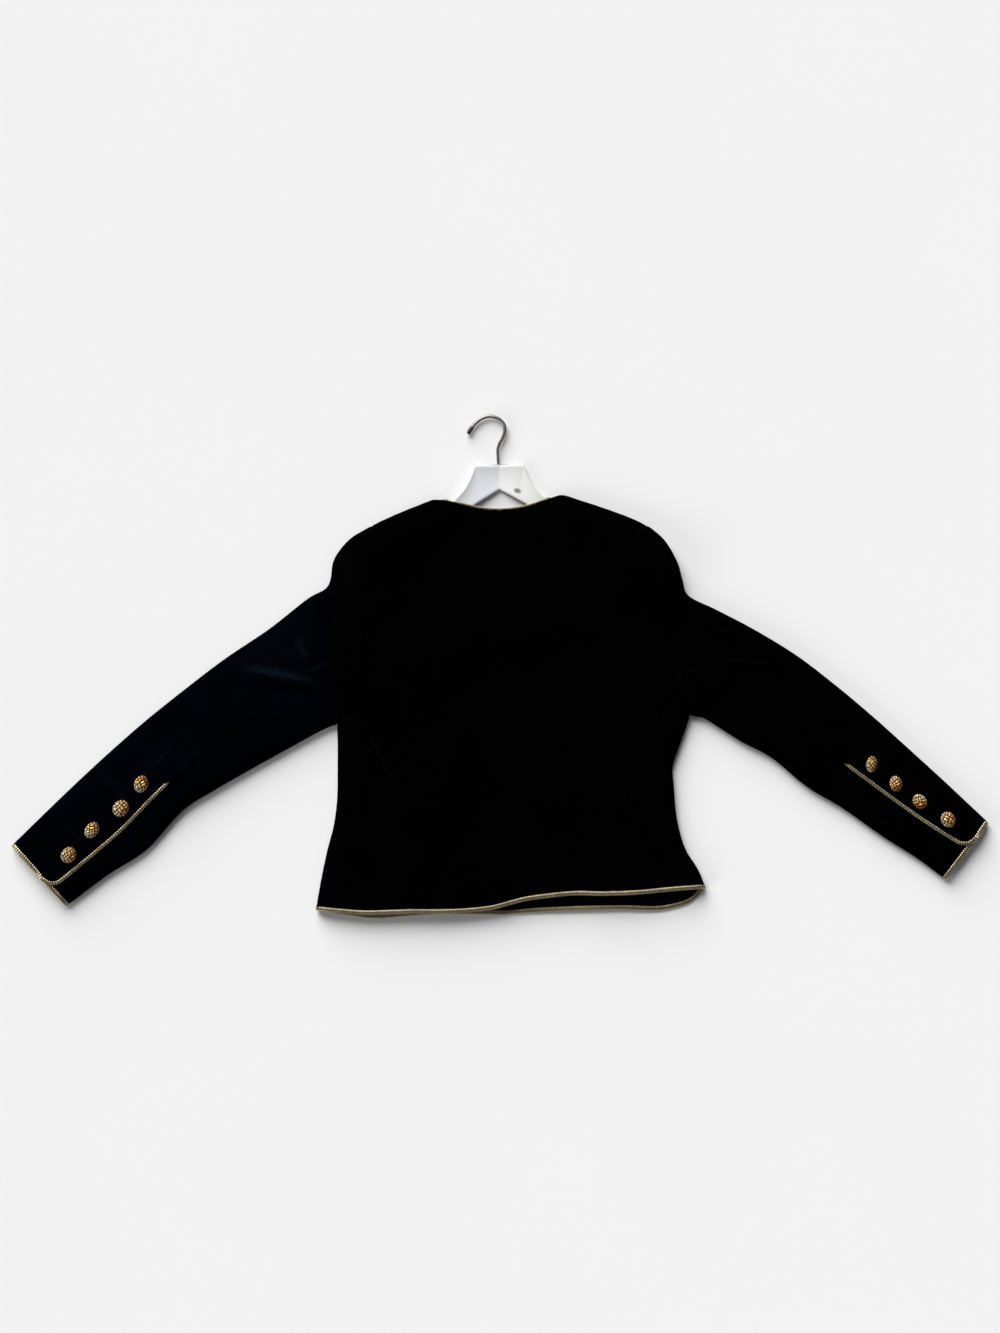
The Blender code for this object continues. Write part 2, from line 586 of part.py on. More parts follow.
def top_sleeve(side, drawn_in=EDGE_INSET):
    """From the back seam and vent, over the upper fold, to the front seam beneath. Also gives the vent's
    lift at each point, and the first row of the vent."""
    rows, past_vent, corner = sleeve_rows(side, drawn_in)
    upper, lower, seam = sleeve_section(side, rows)
    width = np.linalg.norm(upper - lower, axis=1)
    steps = np.array(ARMHOLE_STEPS)
    seam_at = steps[BACK_SLEEVE_STEP]
    braid = (drawn_in - HALF_GAP) * eased(past_vent / VENT_TURN + 1)
    edge = seam + (HALF_GAP + braid + corner) / width
    over = (steps[BACK_SLEEVE_STEP:] - seam_at) / (1 - seam_at)
    shares_over = edge[:, None] + (1 - edge)[:, None] * over
    shares_under = np.tile(steps[FRONT_SLEEVE_STEP:-1][::-1], (len(rows), 1))
    shares_under[:, -1] += HALF_GAP / width
    from_seam = (shares_over - seam[:, None]) * width[:, None]
    growth = eased(past_vent / VENT_RUN + 2)[:, None] * eased(1 - (from_seam - VENT_LEVEL) / VENT_SLOPE)
    lift = np.hstack([VENT_LIFT * growth, np.zeros(shares_under.shape)])
    fold = shares_over.shape[1] - 1
    layers = sleeve_piece(side, rows, (shares_over, shares_under), fold, ("upper", "lower"), lift)
    return layers, lift, len(SLEEVE_ROWS) + 3


def under_sleeve(side, drawn_in=EDGE_INSET):
    """From the front seam beneath, over the lower fold, to the back seam, with the lap inside the vent."""
    rows, past_vent, _ = sleeve_rows(side, drawn_in)
    upper, lower, seam = sleeve_section(side, rows)
    width = np.linalg.norm(upper - lower, axis=1)
    steps = np.array(ARMHOLE_STEPS)
    lap = VENT_LAP * np.clip(past_vent / VENT_RUN + 1, 0, 1)
    shares_low = np.tile(steps[: FRONT_SLEEVE_STEP + 1][::-1], (len(rows), 1))
    shares_low[:, 0] -= HALF_GAP / width
    edge = seam + (lap - HALF_GAP) / width
    shares_high = edge[:, None] * steps[1 : BACK_SLEEVE_STEP + 1] / steps[BACK_SLEEVE_STEP]
    fold = shares_low.shape[1] - 1
    return sleeve_piece(side, rows, (shares_low, shares_high), fold, ("lower", "upper"), 0.0)


# ---- braid -----------------------------------------------------------------------------------------

def edge_route(outer, inner, sink=CLOTH / 2):
    """Centre of the braid along a row of a panel: sink below its outer face, and clear of the surface."""
    route = outer + (inner - outer) * (np.zeros(len(outer)) + sink)[:, None] / CLOTH
    route[:, 2] = np.maximum(route[:, 2], BRAID_RADIUS + BRAID_FLOOR_GAP)
    return route


def joined(parts):
    """Routes end to end, with each pair of points that meet at a seam made one."""
    route = [parts[0]]
    for part in parts[1:]:
        middle = (route[-1][-1] + part[0]) / 2
        if np.linalg.norm(route[-1][-1] - part[0]) < 2 * BRAID_RADIUS:
            route[-1] = np.vstack([route[-1][:-1], middle[None]])
            part = part[1:]
        route.append(part)
    return np.vstack(route)


def hem_route():
    """From the centre front round the left side fold, along the back hem, and round to the centre front."""
    edge = {
        (piece.__name__, side): edge_route(*(points[0] for points in piece(side, BRAID_RADIUS)))
        for piece in (front, side_back, back)
        for side in ("left", "right")
    }
    return joined([
        edge["front", "left"][::-1], edge["side_back", "left"], edge["back", "left"],
        edge["back", "right"][::-1], edge["side_back", "right"][::-1], edge["front", "right"],
    ])


def neck_route():
    """From the centre front up to one neck point, along the back neck, and down to the centre front."""
    first = len(NECK_COLUMNS)
    edge = {
        (piece.__name__, side): edge_route(*(points[-1, -first:] for points in piece(side, BRAID_RADIUS)))
        for piece in (front, back)
        for side in ("left", "right")
    }
    points = np.array([BACK_NECK[0], BACK_NECK[-1]]) + np.array(NECK_POINT_IN) * [[1, 1], [-1, 1]]
    height = MIDDLE_SHARE * level_height(points)
    left_point, right_point = np.hstack([points, height[:, None]])
    return joined([
        edge["front", "left"][::-1], left_point[None], edge["back", "left"],
        edge["back", "right"][::-1], right_point[None], edge["front", "right"],
    ])


def vent_route(side):
    """Down the vent, round its corner, along the top sleeve's cuff and over the fold to the front seam."""
    (outer, inner), lift, first = top_sleeve(side, BRAID_RADIUS)
    sink = CLOTH / 2 * (1 - lift / VENT_LIFT)
    down = edge_route(outer[first:, 0], inner[first:, 0], sink[first:, 0])
    across = edge_route(outer[-1, 1:], inner[-1, 1:], sink[-1, 1:])
    return np.vstack([down, across])


def cuff_route(side):
    """Along the under sleeve's cuff: from the front seam beneath, over the lower fold, to the vent."""
    outer, inner = under_sleeve(side, BRAID_RADIUS)
    route = edge_route(outer[-1], inner[-1])
    upper, lower, seam = sleeve_section(side, [CUFF])
    along_cuff = (upper - lower)[0] / np.linalg.norm(upper - lower)
    reach = ((route[:, :2] - lower[0]) * along_cuff).sum(1)
    stop = seam[0] * np.linalg.norm(upper - lower) - 2 * SEAM_GAP
    fold = len(ARMHOLE_STEPS[: FRONT_SLEEVE_STEP + 1]) - 1
    past = fold + np.searchsorted(reach[fold:], stop)
    share = (stop - reach[past - 1]) / (reach[past] - reach[past - 1])
    return np.vstack([route[:past], route[past - 1] + share * (route[past] - route[past - 1])])


# ---- objects ---------------------------------------------------------------------------------------

def make_material(name, colour, roughness, metallic=0.0, sheen=0.0):
    material = bpy.data.materials.new(name)
    material.use_nodes = True
    shader = material.node_tree.nodes["Principled BSDF"]
    shader.inputs["Base Color"].default_value = (*colour, 1.0)
    shader.inputs["Roughness"].default_value = roughness
    shader.inputs["Metallic"].default_value = metallic
    shader.inputs["Sheen Weight"].default_value = sheen
    material.diffuse_color = (*colour, 1.0)
    return material


def clear_scene():
    for old in list(bpy.data.objects):
        bpy.data.objects.remove(old, do_unlink=True)


def add_object(name, data, material, collection):
    obj = bpy.data.objects.new(name, data)
    data.materials.append(material)
    collection.objects.link(obj)
    return obj


def cloth_object(name, layers, material, collection):
    """A grid placed on the outer points, thickened to the inner ones."""
    outer, inner = (points * MM for points in layers)
    rows, columns = outer.shape[:2]
    bm = bmesh.new()
    bmesh.ops.create_grid(bm, x_segments=columns - 1, y_segments=rows - 1, size=0.5)
    place = bm.verts.layers.int.new("place")
    for vert in bm.verts:
        column = round((vert.co.x + 0.5) * (columns - 1))
        row = round((vert.co.y + 0.5) * (rows - 1))
        vert[place] = row * columns + column
    grown = bmesh.ops.extrude_face_region(bm, geom=bm.faces[:], use_keep_orig=True)["geom"]
    inner_verts = {item for item in grown if isinstance(item, bmesh.types.BMVert)}
    for vert in bm.verts:
        points = inner if vert in inner_verts else outer
        vert.co = points.reshape(-1, 3)[vert[place]]
    bmesh.ops.recalc_face_normals(bm, faces=bm.faces[:])
    if bm.calc_volume(signed=True) < 0:
        bmesh.ops.reverse_faces(bm, faces=bm.faces[:])
    bm.verts.layers.int.remove(bm.verts.layers.int["place"])
    mesh = bpy.data.meshes.new(name)
    bm.to_mesh(mesh)
    bm.free()
    mesh.shade_smooth()
    mesh.set_sharp_from_angle(angle=math.radians(50))
    return add_object(name, mesh, material, collection)


def tube_object(name, route, radius, material, collection, end_radius=None, sides=1):
    """A round tube along a route, as a curve with a bevel and filled caps."""
    curve = bpy.data.curves.new(name, "CURVE")
    curve.dimensions = "3D"
    curve.bevel_depth = radius * MM
    curve.bevel_resolution = sides
    curve.use_fill_caps = True
    spline = curve.splines.new("POLY")
    spline.points.add(len(route) - 1)
    for place, point in enumerate(route):
        spline.points[place].co = (*(point * MM), 1.0)
    if end_radius:
        for place in (-3, -2, -1):
            spline.points[place].radius = end_radius / radius
    return add_object(name, curve, material, collection)


def button_mesh():
    """A domed button with a shank beneath it, turned from its profile."""
    dome = [(0.0, 1.0), (0.42, 0.92), (0.76, 0.66), (0.95, 0.26), (1.0, -0.12)]
    profile = [(reach * BUTTON_RADIUS, rise * BUTTON_RISE) for reach, rise in dome]
    under = -BUTTON_RIM
    profile += [(BUTTON_RADIUS * 0.93, under), (SHANK_RADIUS, under), (SHANK_RADIUS, under - SHANK_LENGTH)]
    profile.append((0.0, under - SHANK_LENGTH))
    bm = bmesh.new()
    chain = [bm.verts.new((reach * MM, 0.0, rise * MM)) for reach, rise in profile]
    edges = [bm.edges.new(pair) for pair in zip(chain[:-1], chain[1:])]
    bmesh.ops.spin(
        bm, geom=chain + edges, axis=(0, 0, 1), cent=(0, 0, 0), angle=2 * math.pi, steps=BUTTON_SEGMENTS,
        use_merge=True,
    )
    bmesh.ops.remove_doubles(bm, verts=bm.verts[:], dist=1e-6)
    bmesh.ops.recalc_face_normals(bm, faces=bm.faces[:])
    mesh = bpy.data.meshes.new("button")
    bm.to_mesh(mesh)
    bm.free()
    mesh.shade_smooth()
    mesh.set_sharp_from_angle(angle=math.radians(50))
    return mesh


def seat_button(name, place, cloth, material, collection):
    """A slightly oval button leaned as it lies, raised until its lowest point clears the cloth."""
    x, y, lean_x, lean_y, long_axis, share = place
    turn = Matrix.Rotation(math.radians(lean_y), 4, "X") @ Matrix.Rotation(math.radians(lean_x), 4, "Y")
    turn = turn @ Matrix.Rotation(math.radians(long_axis), 4, "Z") @ Matrix.Diagonal((1, share, 1, 1))
    mesh = button_mesh()
    mesh.transform(turn)
    centre = Vector((x * MM, y * MM, 0.0))
    room = math.inf
    for vert in mesh.vertices:
        point = centre + vert.co
        hit = cloth.ray_cast(Vector((point.x, point.y, 1.0)), Vector((0, 0, -1)))[0]
        if hit:
            room = min(room, point.z - hit.z)
    obj = add_object(name, mesh, material, collection)
    obj.location = centre + Vector((0, 0, SEAM_GAP * MM - room))
    return obj


def hanger_object(material, collection):
    half = along(HANGER_OUTLINE, np.linspace(0, 1, HANGER_POINTS))
    outline = np.vstack([half, half[1:-1][::-1] * [-1, 1]])
    crown = np.array(HANGER_OUTLINE[0])
    curve = bpy.data.curves.new("hanger", "CURVE")
    curve.dimensions = "2D"
    curve.fill_mode = "BOTH"
    curve.extrude = (HANGER_THICK / 2 - HANGER_EDGE) * MM
    curve.bevel_depth = HANGER_EDGE * MM
    curve.bevel_resolution = 0
    curve.offset = -HANGER_EDGE * MM
    spline = curve.splines.new("POLY")
    spline.points.add(len(outline) - 1)
    for place, point in enumerate(outline):
        spline.points[place].co = (*((point - crown) * MM), 0.0, 1.0)
    spline.use_cyclic_u = True
    obj = add_object("hanger", curve, material, collection)
    obj.location = (*(crown * MM), (HANGER_FLOOR + HANGER_THICK / 2) * MM)
    obj.rotation_euler.z = math.radians(HANGER_TURN)
    return obj


def build():
    clear_scene()
    jacket = bpy.data.collections.new("short_jacket")
    bpy.context.scene.collection.children.link(jacket)
    velvet = make_material("black_velvet", (0.004, 0.004, 0.006), 0.9, sheen=0.4)
    braid = make_material("gold_braid", (0.36, 0.27, 0.13), 0.55, metallic=0.4)
    gilt = make_material("gilt_metal", (0.55, 0.40, 0.18), 0.3, metallic=1.0)
    white = make_material("white_plastic", (0.82, 0.82, 0.80), 0.35)
    steel = make_material("bright_steel", (0.60, 0.59, 0.57), 0.25, metallic=1.0)

    for side in ("left", "right"):
        cloth_object(f"back_{side}", back(side), velvet, jacket)
        cloth_object(f"side_back_{side}", side_back(side), velvet, jacket)
        cloth_object(f"front_{side}", front(side), velvet, jacket)
        top = cloth_object(f"top_sleeve_{side}", top_sleeve(side)[0], velvet, jacket)
        cloth_object(f"under_sleeve_{side}", under_sleeve(side), velvet, jacket)
        tube_object(f"vent_braid_{side}", vent_route(side), BRAID_RADIUS, braid, jacket)
        tube_object(f"cuff_braid_{side}", cuff_route(side), BRAID_RADIUS, braid, jacket)
        seen = BVHTree.FromPolygons(
            [vert.co for vert in top.data.vertices], [face.vertices for face in top.data.polygons]
        )
        for number, place in enumerate(BUTTONS[side], 1):
            seat_button(f"button_{side}_{number}", place, seen, gilt, jacket)
    tube_object("hem_braid", hem_route(), BRAID_RADIUS, braid, jacket)
    tube_object("neck_braid", neck_route(), BRAID_RADIUS, braid, jacket)

    hanger_object(white, jacket)
    hook = np.array([(x, y, HANGER_FLOOR + HANGER_THICK / 2) for x, y in HOOK_ROUTE])
    hook = along(hook, np.linspace(0, 1, HOOK_POINTS))
    tube_object("hook", hook, HOOK_RADIUS, steel, jacket, end_radius=HOOK_TIP_RADIUS, sides=2)


build()
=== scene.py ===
"""Looks of a short collarless velvet jacket, laid on its front with its hanger in it.

The tables and shapes work in millimetres: x to the right, y from hem to neck, z up from the surface that
the jacket lies on. Meshes are made in metres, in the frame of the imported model.
"""

import math
from collections import namedtuple

import bpy
import numpy as np
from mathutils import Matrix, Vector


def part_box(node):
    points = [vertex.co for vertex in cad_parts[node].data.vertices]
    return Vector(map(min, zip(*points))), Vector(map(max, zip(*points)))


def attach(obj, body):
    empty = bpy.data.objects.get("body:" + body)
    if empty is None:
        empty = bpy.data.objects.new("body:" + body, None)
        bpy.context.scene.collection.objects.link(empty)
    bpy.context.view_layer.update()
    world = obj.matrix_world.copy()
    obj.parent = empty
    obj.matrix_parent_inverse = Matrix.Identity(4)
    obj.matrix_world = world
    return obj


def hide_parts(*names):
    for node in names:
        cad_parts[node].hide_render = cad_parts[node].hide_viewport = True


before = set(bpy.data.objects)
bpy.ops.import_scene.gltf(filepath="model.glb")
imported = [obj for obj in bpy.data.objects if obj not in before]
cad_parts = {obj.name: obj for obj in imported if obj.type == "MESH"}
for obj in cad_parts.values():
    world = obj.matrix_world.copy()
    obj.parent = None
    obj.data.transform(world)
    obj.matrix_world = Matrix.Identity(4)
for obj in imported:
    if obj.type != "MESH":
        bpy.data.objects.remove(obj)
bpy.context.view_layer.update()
MM = 0.001

# The camera looks straight down. One pixel of the 1000 x 1333 picture covers PIXEL at the folds' height.
PICTURE_HEIGHT = 1333
PIXEL = 1.25
CAMERA_HEIGHT = 4000.0
CAMERA_PLACE = (1.25, -1.9)
FOLD_HEIGHT = 8.0
SENSOR = 36.0

# Cloth
CLOTH = 2.0
HALF_GAP = -0.05  # the turnings of a seam press this far into each other
EDGE_UNDER_BRAID = 2.6  # cloth ends this far inside the finished edge, in the braid's fold
SMOOTH_ANGLE = 55.0  # every mesh is shaded smooth where its faces meet at less than this
GRID = 3.0  # the cloth grids' step away from edges and folds
GRID_AT_EDGE = 0.16
GRID_GROWTH = 1.4  # each step over the one before it
FLANK_POINTS = 90  # points that a fold or curve is read at
SLEEVE_POINTS = 260
CURVE_POINTS = 400
NECK_POINTS = 200
BATCH = 2500  # points whose distances are worked out together
LEVEL_HEIGHT = 15.0  # of the laid jacket, away from its folds and mounds
MIDDLE_SHARE = 0.4  # share of the height at which the two layers meet at a fold
UPPER_ROLL = 1.8  # how far in from a fold a layer rises, over its rise
LOWER_ROLL = 1.1
CROWN_DROP = 0.12  # share of the height that is lost at a fold, and dies away inwards
CROWN_REACH = 25.0

SEAM_DEPTH = 0.6
SEAM_WIDTH = 1.3
SEAM_RIDGE = 0.22  # the seam's turnings lift the cloth beside it
SEAM_RIDGE_PLACE = 7.0
SEAM_RIDGE_WIDTH = 3.5
PUCKER = 0.22
PUCKER_REACH = 7.0
PUCKER_PITCH = 13.0
PUCKER_DRIFT = 41.0  # the puckers' pitch comes and goes over this length
PUCKER_CLEAR = 2.0  # none lies this close to the seam
EASE = 0.75  # fullness of the sleeve's head
EASE_REACH = 15.0
EASE_PITCH = 19.0
FOLD_TAPER = 1.2
FOLD_REACH = 3.0  # a fold is worked out as far as this many of its widths
FOLD_POINTS = 15
PRESSED_AND_HIGHLIGHT_WIDTH = 0.4  # width of the pressed pile and its painted crease highlight, over its fold's

# Nominal sizes, across and up, that set how many points each cloth grid has
SIDE_BACK_GRID = (100, 250)
BACK_GRID = (180, 500)
FRONT_GRID = (225, 500)
TOP_SLEEVE_GRID = (110, 80)  # across its upper face, and across its lower one
UNDER_SLEEVE_GRID = (70, 60)  # across its lower face, and across its upper one
SIDE_SHARE = 0.45  # share of a body panel's rows that lie below the underarm
SHOULDER_SHARE = 0.60  # share of its columns under the shoulder
NECK_SHARE = 0.62  # share from which its columns lie under the neck
SHOULDER_END = 11.0  # the shoulder fold stops this far before the neck point, where the braid crosses it
BACK_NECK_CENTRE = np.array([3.0, 1000.0])  # points that the cloth's neck edges are moved away from
FRONT_NECK_CENTRE = np.array([3.0, 190.0])
ARMHOLE_FADE = 7.0  # the sleeve keeps a share of its armhole's bow over this many sections

# Vents
VENT_LIFT = 3.1  # the top sleeve lies this much higher along its vent
VENT_LAP = 14.0
VENT_RUN = 22.0  # the lap grows over this length above the opening, and the lift over as much before it
VENT_TURN = 8.0  # the edge turns in to its braid over this length above the opening
VENT_CORNER = 15.0
VENT_LEVEL = 18.0  # the lift is whole this far in from the edge, and dies away over the slope
VENT_SLOPE = 18.0
VENT_ROWS = (-2.0, -1.0, 0.0)  # rows of its own above its opening, in turns
VENT_CORNER_ROWS = 10

# Braid: a plait folded over the cloth's edge
BRAID_WIDTH = {"hem": 5.3, "neck": 3.1, "vent": 4.4, "cuff": 5.6}
BRAID_FLATNESS = 0.58  # its thickness over its width
BRAID_SQUARENESS = 3.4
BRAID_IN = 2.5  # its middle lies this far inside the finished edge
BRAID_PITCH = 3.1
BRAID_RELIEF = 0.5
BRAID_SLANT = 0.5  # how far the strands lean, in pitches from middle to side
BRAID_STEP = 0.38
BRAID_SIDES = 20
BRAID_FLOOR = 0.15  # it stays this far above the surface
BRAID_LAY_STEP = 2.2  # its route is smoothed at this step
BRAID_LEAST_STEP = 0.05  # points of its route that are closer than this are one
BRAID_ROUND = 3.0  # its flat map is this many times narrower than its width for each radian
BRAID_FULLNESS = 0.8  # the strands' crowns are flatter below 1
BRAID_GROOVE = 0.55  # share of the relief that is lost in its middle
BRAID_GROOVE_WIDTH = 0.16  # over its half width
# lengths over which a braid shrinks to a point at its first end and at its last
BRAID_ENDS = {"hem": (1.0, 1.0), "neck": (1.0, 1.0), "vent": (11.0, 2.0), "cuff": (2.0, 2.5)}
NECK_FIRST = 0.66  # share of a panel's columns at which its neck's braid starts
NECK_POINT_INSET = (1.5, -2.5)  # of the neck's braid where it crosses the left shoulder fold
NECK_POINT_FACING = (0.35, 0.93, 0.0)
LAP_CLEAR = 1.5  # the under sleeve's braid stops this far before its lap's end
CUFF_GROWTH = 20.0  # the vent's braid widens over this length as it turns into the cuff's

# Buttons
BUTTON_RADIUS = {"left": 9.9, "right": 8.9}
BUTTON_RISE = 5.6
BUTTON_RIM = 2.2
DOME_START = 0.012  # share of its profile at which its pole closes
DOME_SPREAD = 0.92  # powers of its profile, outwards and down
DOME_FALL = 2.3
DOME_SINK = 0.45  # grooves lie this much beneath the dome
POLE_RISE = 0.02
BUTTON_UNDER = (  # rim, back and shank: shares of its radius, and of its rim's height
    (1.0, -0.3), (0.985, -0.75), (0.93, -1.0), (0.8, -1.0), (0.6, -0.96), (0.36, -0.92),
    (0.31, -1.0), (0.31, -1.4), (0.30, -1.78), (0.15, -1.82),
)
BASKET_CELL = 7.6
BASKET_RIBS = 2
BASKET_RELIEF = 1.5
BASKET_START = (0.5, 0.2)  # cells
RIB_SHARPNESS = 1.1
RIB_BULGE = 0.5
RIB_END = 0.1  # a rib's height at its ends, over its middle's
RIM_KNOTS = 16
RIM_WAVER = 0.5  # how unevenly its knots are spread
RIM_WAVES = 5
RIM_FULLNESS = 0.6
RIM_PLACE = 0.94  # over its radius
RIM_WIDTH = 0.7
RIM_GROOVE = 0.6  # share of the relief that is lost inside the rim
RIM_GROOVE_PLACE = 0.84
RIM_GROOVE_WIDTH = 0.4
OUTWARD = 0.5  # share of the height that relief loses at the rim, where it points outwards
PAINTED_LIGHT_SPREAD = 1.0  # how far painted highlight and painted shade part its gilding, from its shaded side to its lit one
BUTTON_SPOKES = 176
BUTTON_RINGS = 38
BUTTON_TURN = 0.9  # each one's weave is turned this much more than the last one's, in radians
BUTTON_FIRST_TURN = {"left": 0.4, "right": 1.7}

# Buttonhole bars
BAR_ENDS = (-3.0, 18.5)  # from the button's middle
BAR_HALF_WIDTH = 1.15
BAR_HALF_HEIGHT = 0.62
BAR_ROUND = 1.5  # its ends are rounded over this length
BAR_LIFT = 0.15
BAR_REACH = 30.0  # cloth this near is read for its height, and blurred over the next value
BAR_BLUR = 1.6
BAR_RINGS = 120
BAR_SIDES = 12
STITCH_PITCH = 0.9
STITCH_WIDTH = 0.2
STITCH_HEIGHT = 0.22

# Hanger and hook
HANGER_THICK = 4.2
HANGER_FLOOR = 2.5
HANGER_MIDDLE = HANGER_FLOOR + HANGER_THICK / 2
HANGER_VALLEY = 2.0  # its face sinks by this towards its middle
HANGER_VALLEY_REACH = 24.0
HANGER_EDGE = 2.3  # its upper edges' roundness
HANGER_LOW_EDGE_SHARE = 0.25  # its lower edges' roundness over that of its upper ones
HANGER_TURN = 1.4  # degrees
HANGER_RIM = 3.6  # its rim's inner side, from its edge
HANGER_RECESS = 0.22
HANGER_RIM_START = 0.8  # a row of points on the rim, this far from the rounded edge
HANGER_RECESS_RUN = 0.9
HANGER_LEAST = 0.05  # the two edges' rounds stay this far apart
HANGER_CROWN = 0.2  # share of its arm's length that has the crown's close rows
HANGER_CROWN_ROWS = 90
HANGER_ARM_ROWS = 60
HANGER_EDGE_STEPS = 6
HOOK_RADIUS = 2.15
HOOK_STEM_RADIUS = 1.75
HOOK_TIP_RADIUS = 2.7
HOOK_STEM = 45.0  # it thickens over this length
HOOK_TIP = 12.0  # its cap's length
HOOK_TIP_STEP = 3.0
HOOK_FOOT = 0.8  # its foot is rounded over this length, and starts a little open
HOOK_FOOT_OPEN = 0.02
HOOK_RINGS = 260
HOOK_SIDES = 24

# The picture
FLOOR_REACH = 20000.0
FLOOR_DROP = 0.05
CLIP_END = 50.0  # metres
SKY_STRENGTH = 0.13

# Colours: linear red, green and blue. A pair is where a value is 0, and where it is 1.
PILE = ((0.00020, 0.00020, 0.00022), (0.00045, 0.00045, 0.00050))
# the left sleeve's pile, bluer and lighter: painted sheen of its nap
SHEEN_SLEEVE_PILE = ((0.00020, 0.00035, 0.0010), (0.00045, 0.00080, 0.0022))
PRESSED_PILE_AND_HIGHLIGHT = ((0.0024, 0.0026, 0.0032), (0.0042, 0.0085, 0.0140))  # pressed pile with a painted highlight on crease crests: the body's, and the left sleeve's, bluer with painted sheen
SHEEN_SLEEVE_SPAN = (-0.185, -0.235)  # the left sleeve's painted sheen, a bluer and lighter tint, sets in between these two places, in metres
LINT = (0.22, 0.22, 0.23)
GOLD = ((0.12, 0.09, 0.045), (0.74, 0.64, 0.41))
GILT = ((0.09, 0.030, 0.003), (0.92, 0.62, 0.20))
# painted shade and painted highlight on the buttons' gilding
PAINTED_SHADE_GILT = (0.36, 0.16, 0.03)
PAINTED_HIGHLIGHT_GILT = (1.0, 0.95, 0.70)
PLASTIC_WITH_PAINTED_SHADE = ((0.72, 0.73, 0.765), (0.80, 0.80, 0.79))  # left of its middle, greyer and bluer with painted shade, and right of it
MIDDLE_SPAN = (-0.001, 0.001)
# a flat dark grey oval painted on the hanger's right; its shape has no hollow there
GREY_OVAL = (0.22, 0.22, 0.23)
GREY_OVAL_PLACE = (0.0231, 0.2178, 0.0)
GREY_OVAL_SIZE = (0.0062, 0.0042, 1.0)
GREY_OVAL_TURN = -0.3
WIRE = ((0.27, 0.255, 0.235), (0.09, 0.085, 0.075))  # its length, and its tip's cap
FLOOR = ((0.898, 0.898, 0.898), (0.906, 0.906, 0.906))

Section = namedtuple("Section", "upper_x upper_y lower_x lower_y seam")
Mound = namedtuple("Mound", "x y reach_x reach_y rise")
Fold = namedtuple("Fold", "route width rise steep pressed")
Button = namedtuple("Button", "x y lean_x lean_y long_axis share bright shine")
Wave = namedtuple("Wave", "rise across up length bend bend_across bend_up bend_length bend_start start")
Light = namedtuple("Light", "name strength height direction spread")
Cloth = namedtuple("Cloth", "outer inner pressed uv turned")

# height is a light's angle above the floor, and direction the side that it comes from, in degrees
LIGHTS = (Light("key", 4.66, 31.0, 112.0, 52.0), Light("glint", 0.8, 21.0, 208.0, 28.0))
DRAPE = (
    Wave(0.42, 1, 0, 21, 1.3, 0, 1, 47, 0.0, 0.4),
    Wave(0.34, 0, 1, 26, -1.1, 1, 0, 39, 1.0, 0.0),
    Wave(0.24, 1, 1, 13, 1.6, 1, -1, 52, 0.0, 0.0),
)

# Plan of the body, seen from above with the back uppermost
LEFT_SIDE = (
    (-229.5, -306.5), (-223, -269), (-215, -231), (-207, -200),
    (-203, -169), (-202.2, -131), (-202.2, -92), (-202.5, -74),
)
RIGHT_SIDE = (
    (259, -278.8), (249.5, -256), (234, -231), (225.8, -206), (221.3, -181),
    (218.9, -150), (217.6, -128), (224.4, -106), (233.5, -81), (238.8, -62.5),
)
LEFT_SHOULDER = (
    (-72.5, 209.4), (-85, 206), (-98.8, 200.6), (-116, 193.8), (-145, 181), (-158.8, 173.8),
)
RIGHT_SHOULDER = (
    (66, 212), (79.5, 212.6), (101, 206.2), (137.5, 194.2), (170, 181.6), (185, 173.8),
)
BACK_NECK = (
    (-72.5, 209.4), (-56, 205.8), (-38.8, 201.8), (-21, 198), (-2.5, 196.6),
    (16, 197.6), (36, 201.4), (52, 206.5), (66, 212),
)
LEFT_FRONT_NECK = (
    (-72.5, 209.4), (-62, 178), (-42, 148.5), (-21, 133.6), (-8, 130.3), (2.5, 130),
)
RIGHT_FRONT_NECK = (
    (66, 212), (59.5, 180), (44.5, 150), (26, 134), (13, 130.4), (2.5, 130),
)
BACK_HEM = (
    (-229.5, -306.5), (-198, -310.3), (-171, -313.2), (-142, -313.6), (-111, -313.2),
    (-61, -311.8), (-24, -308.4), (-5, -305), (13, -299.5), (31, -295),
    (57, -291.5), (95, -288.4), (132.5, -289.4), (176, -287.2), (214, -282.9), (259, -278.8),
)
FRONT_HEM = (
    (-229.5, -306.5), (-192, -312.8), (-155, -317), (-124, -315), (-98, -312.8),
    (-18, -312), (7.5, -312.4), (39, -309.8), (89, -307.4), (151, -305.9),
    (214, -304.8), (240, -296.8), (259, -278.8),
)
LEFT_BACK_SEAM = (
    (-111, -309.5), (-112, -260), (-117, -206), (-128, -162), (-145, -128),
    (-159, -96), (-171, -62),
)
RIGHT_BACK_SEAM = (
    (141, -287), (143, -250), (150, -206), (162, -162), (178, -128),
    (192, -96), (204, -62),
)
CENTRE_BACK = ((15.6, -297), (14, -150), (8, 20), (1, 192.5))
CENTRE_FRONT = ((15.6, -309), (10, -100), (2.5, 130))

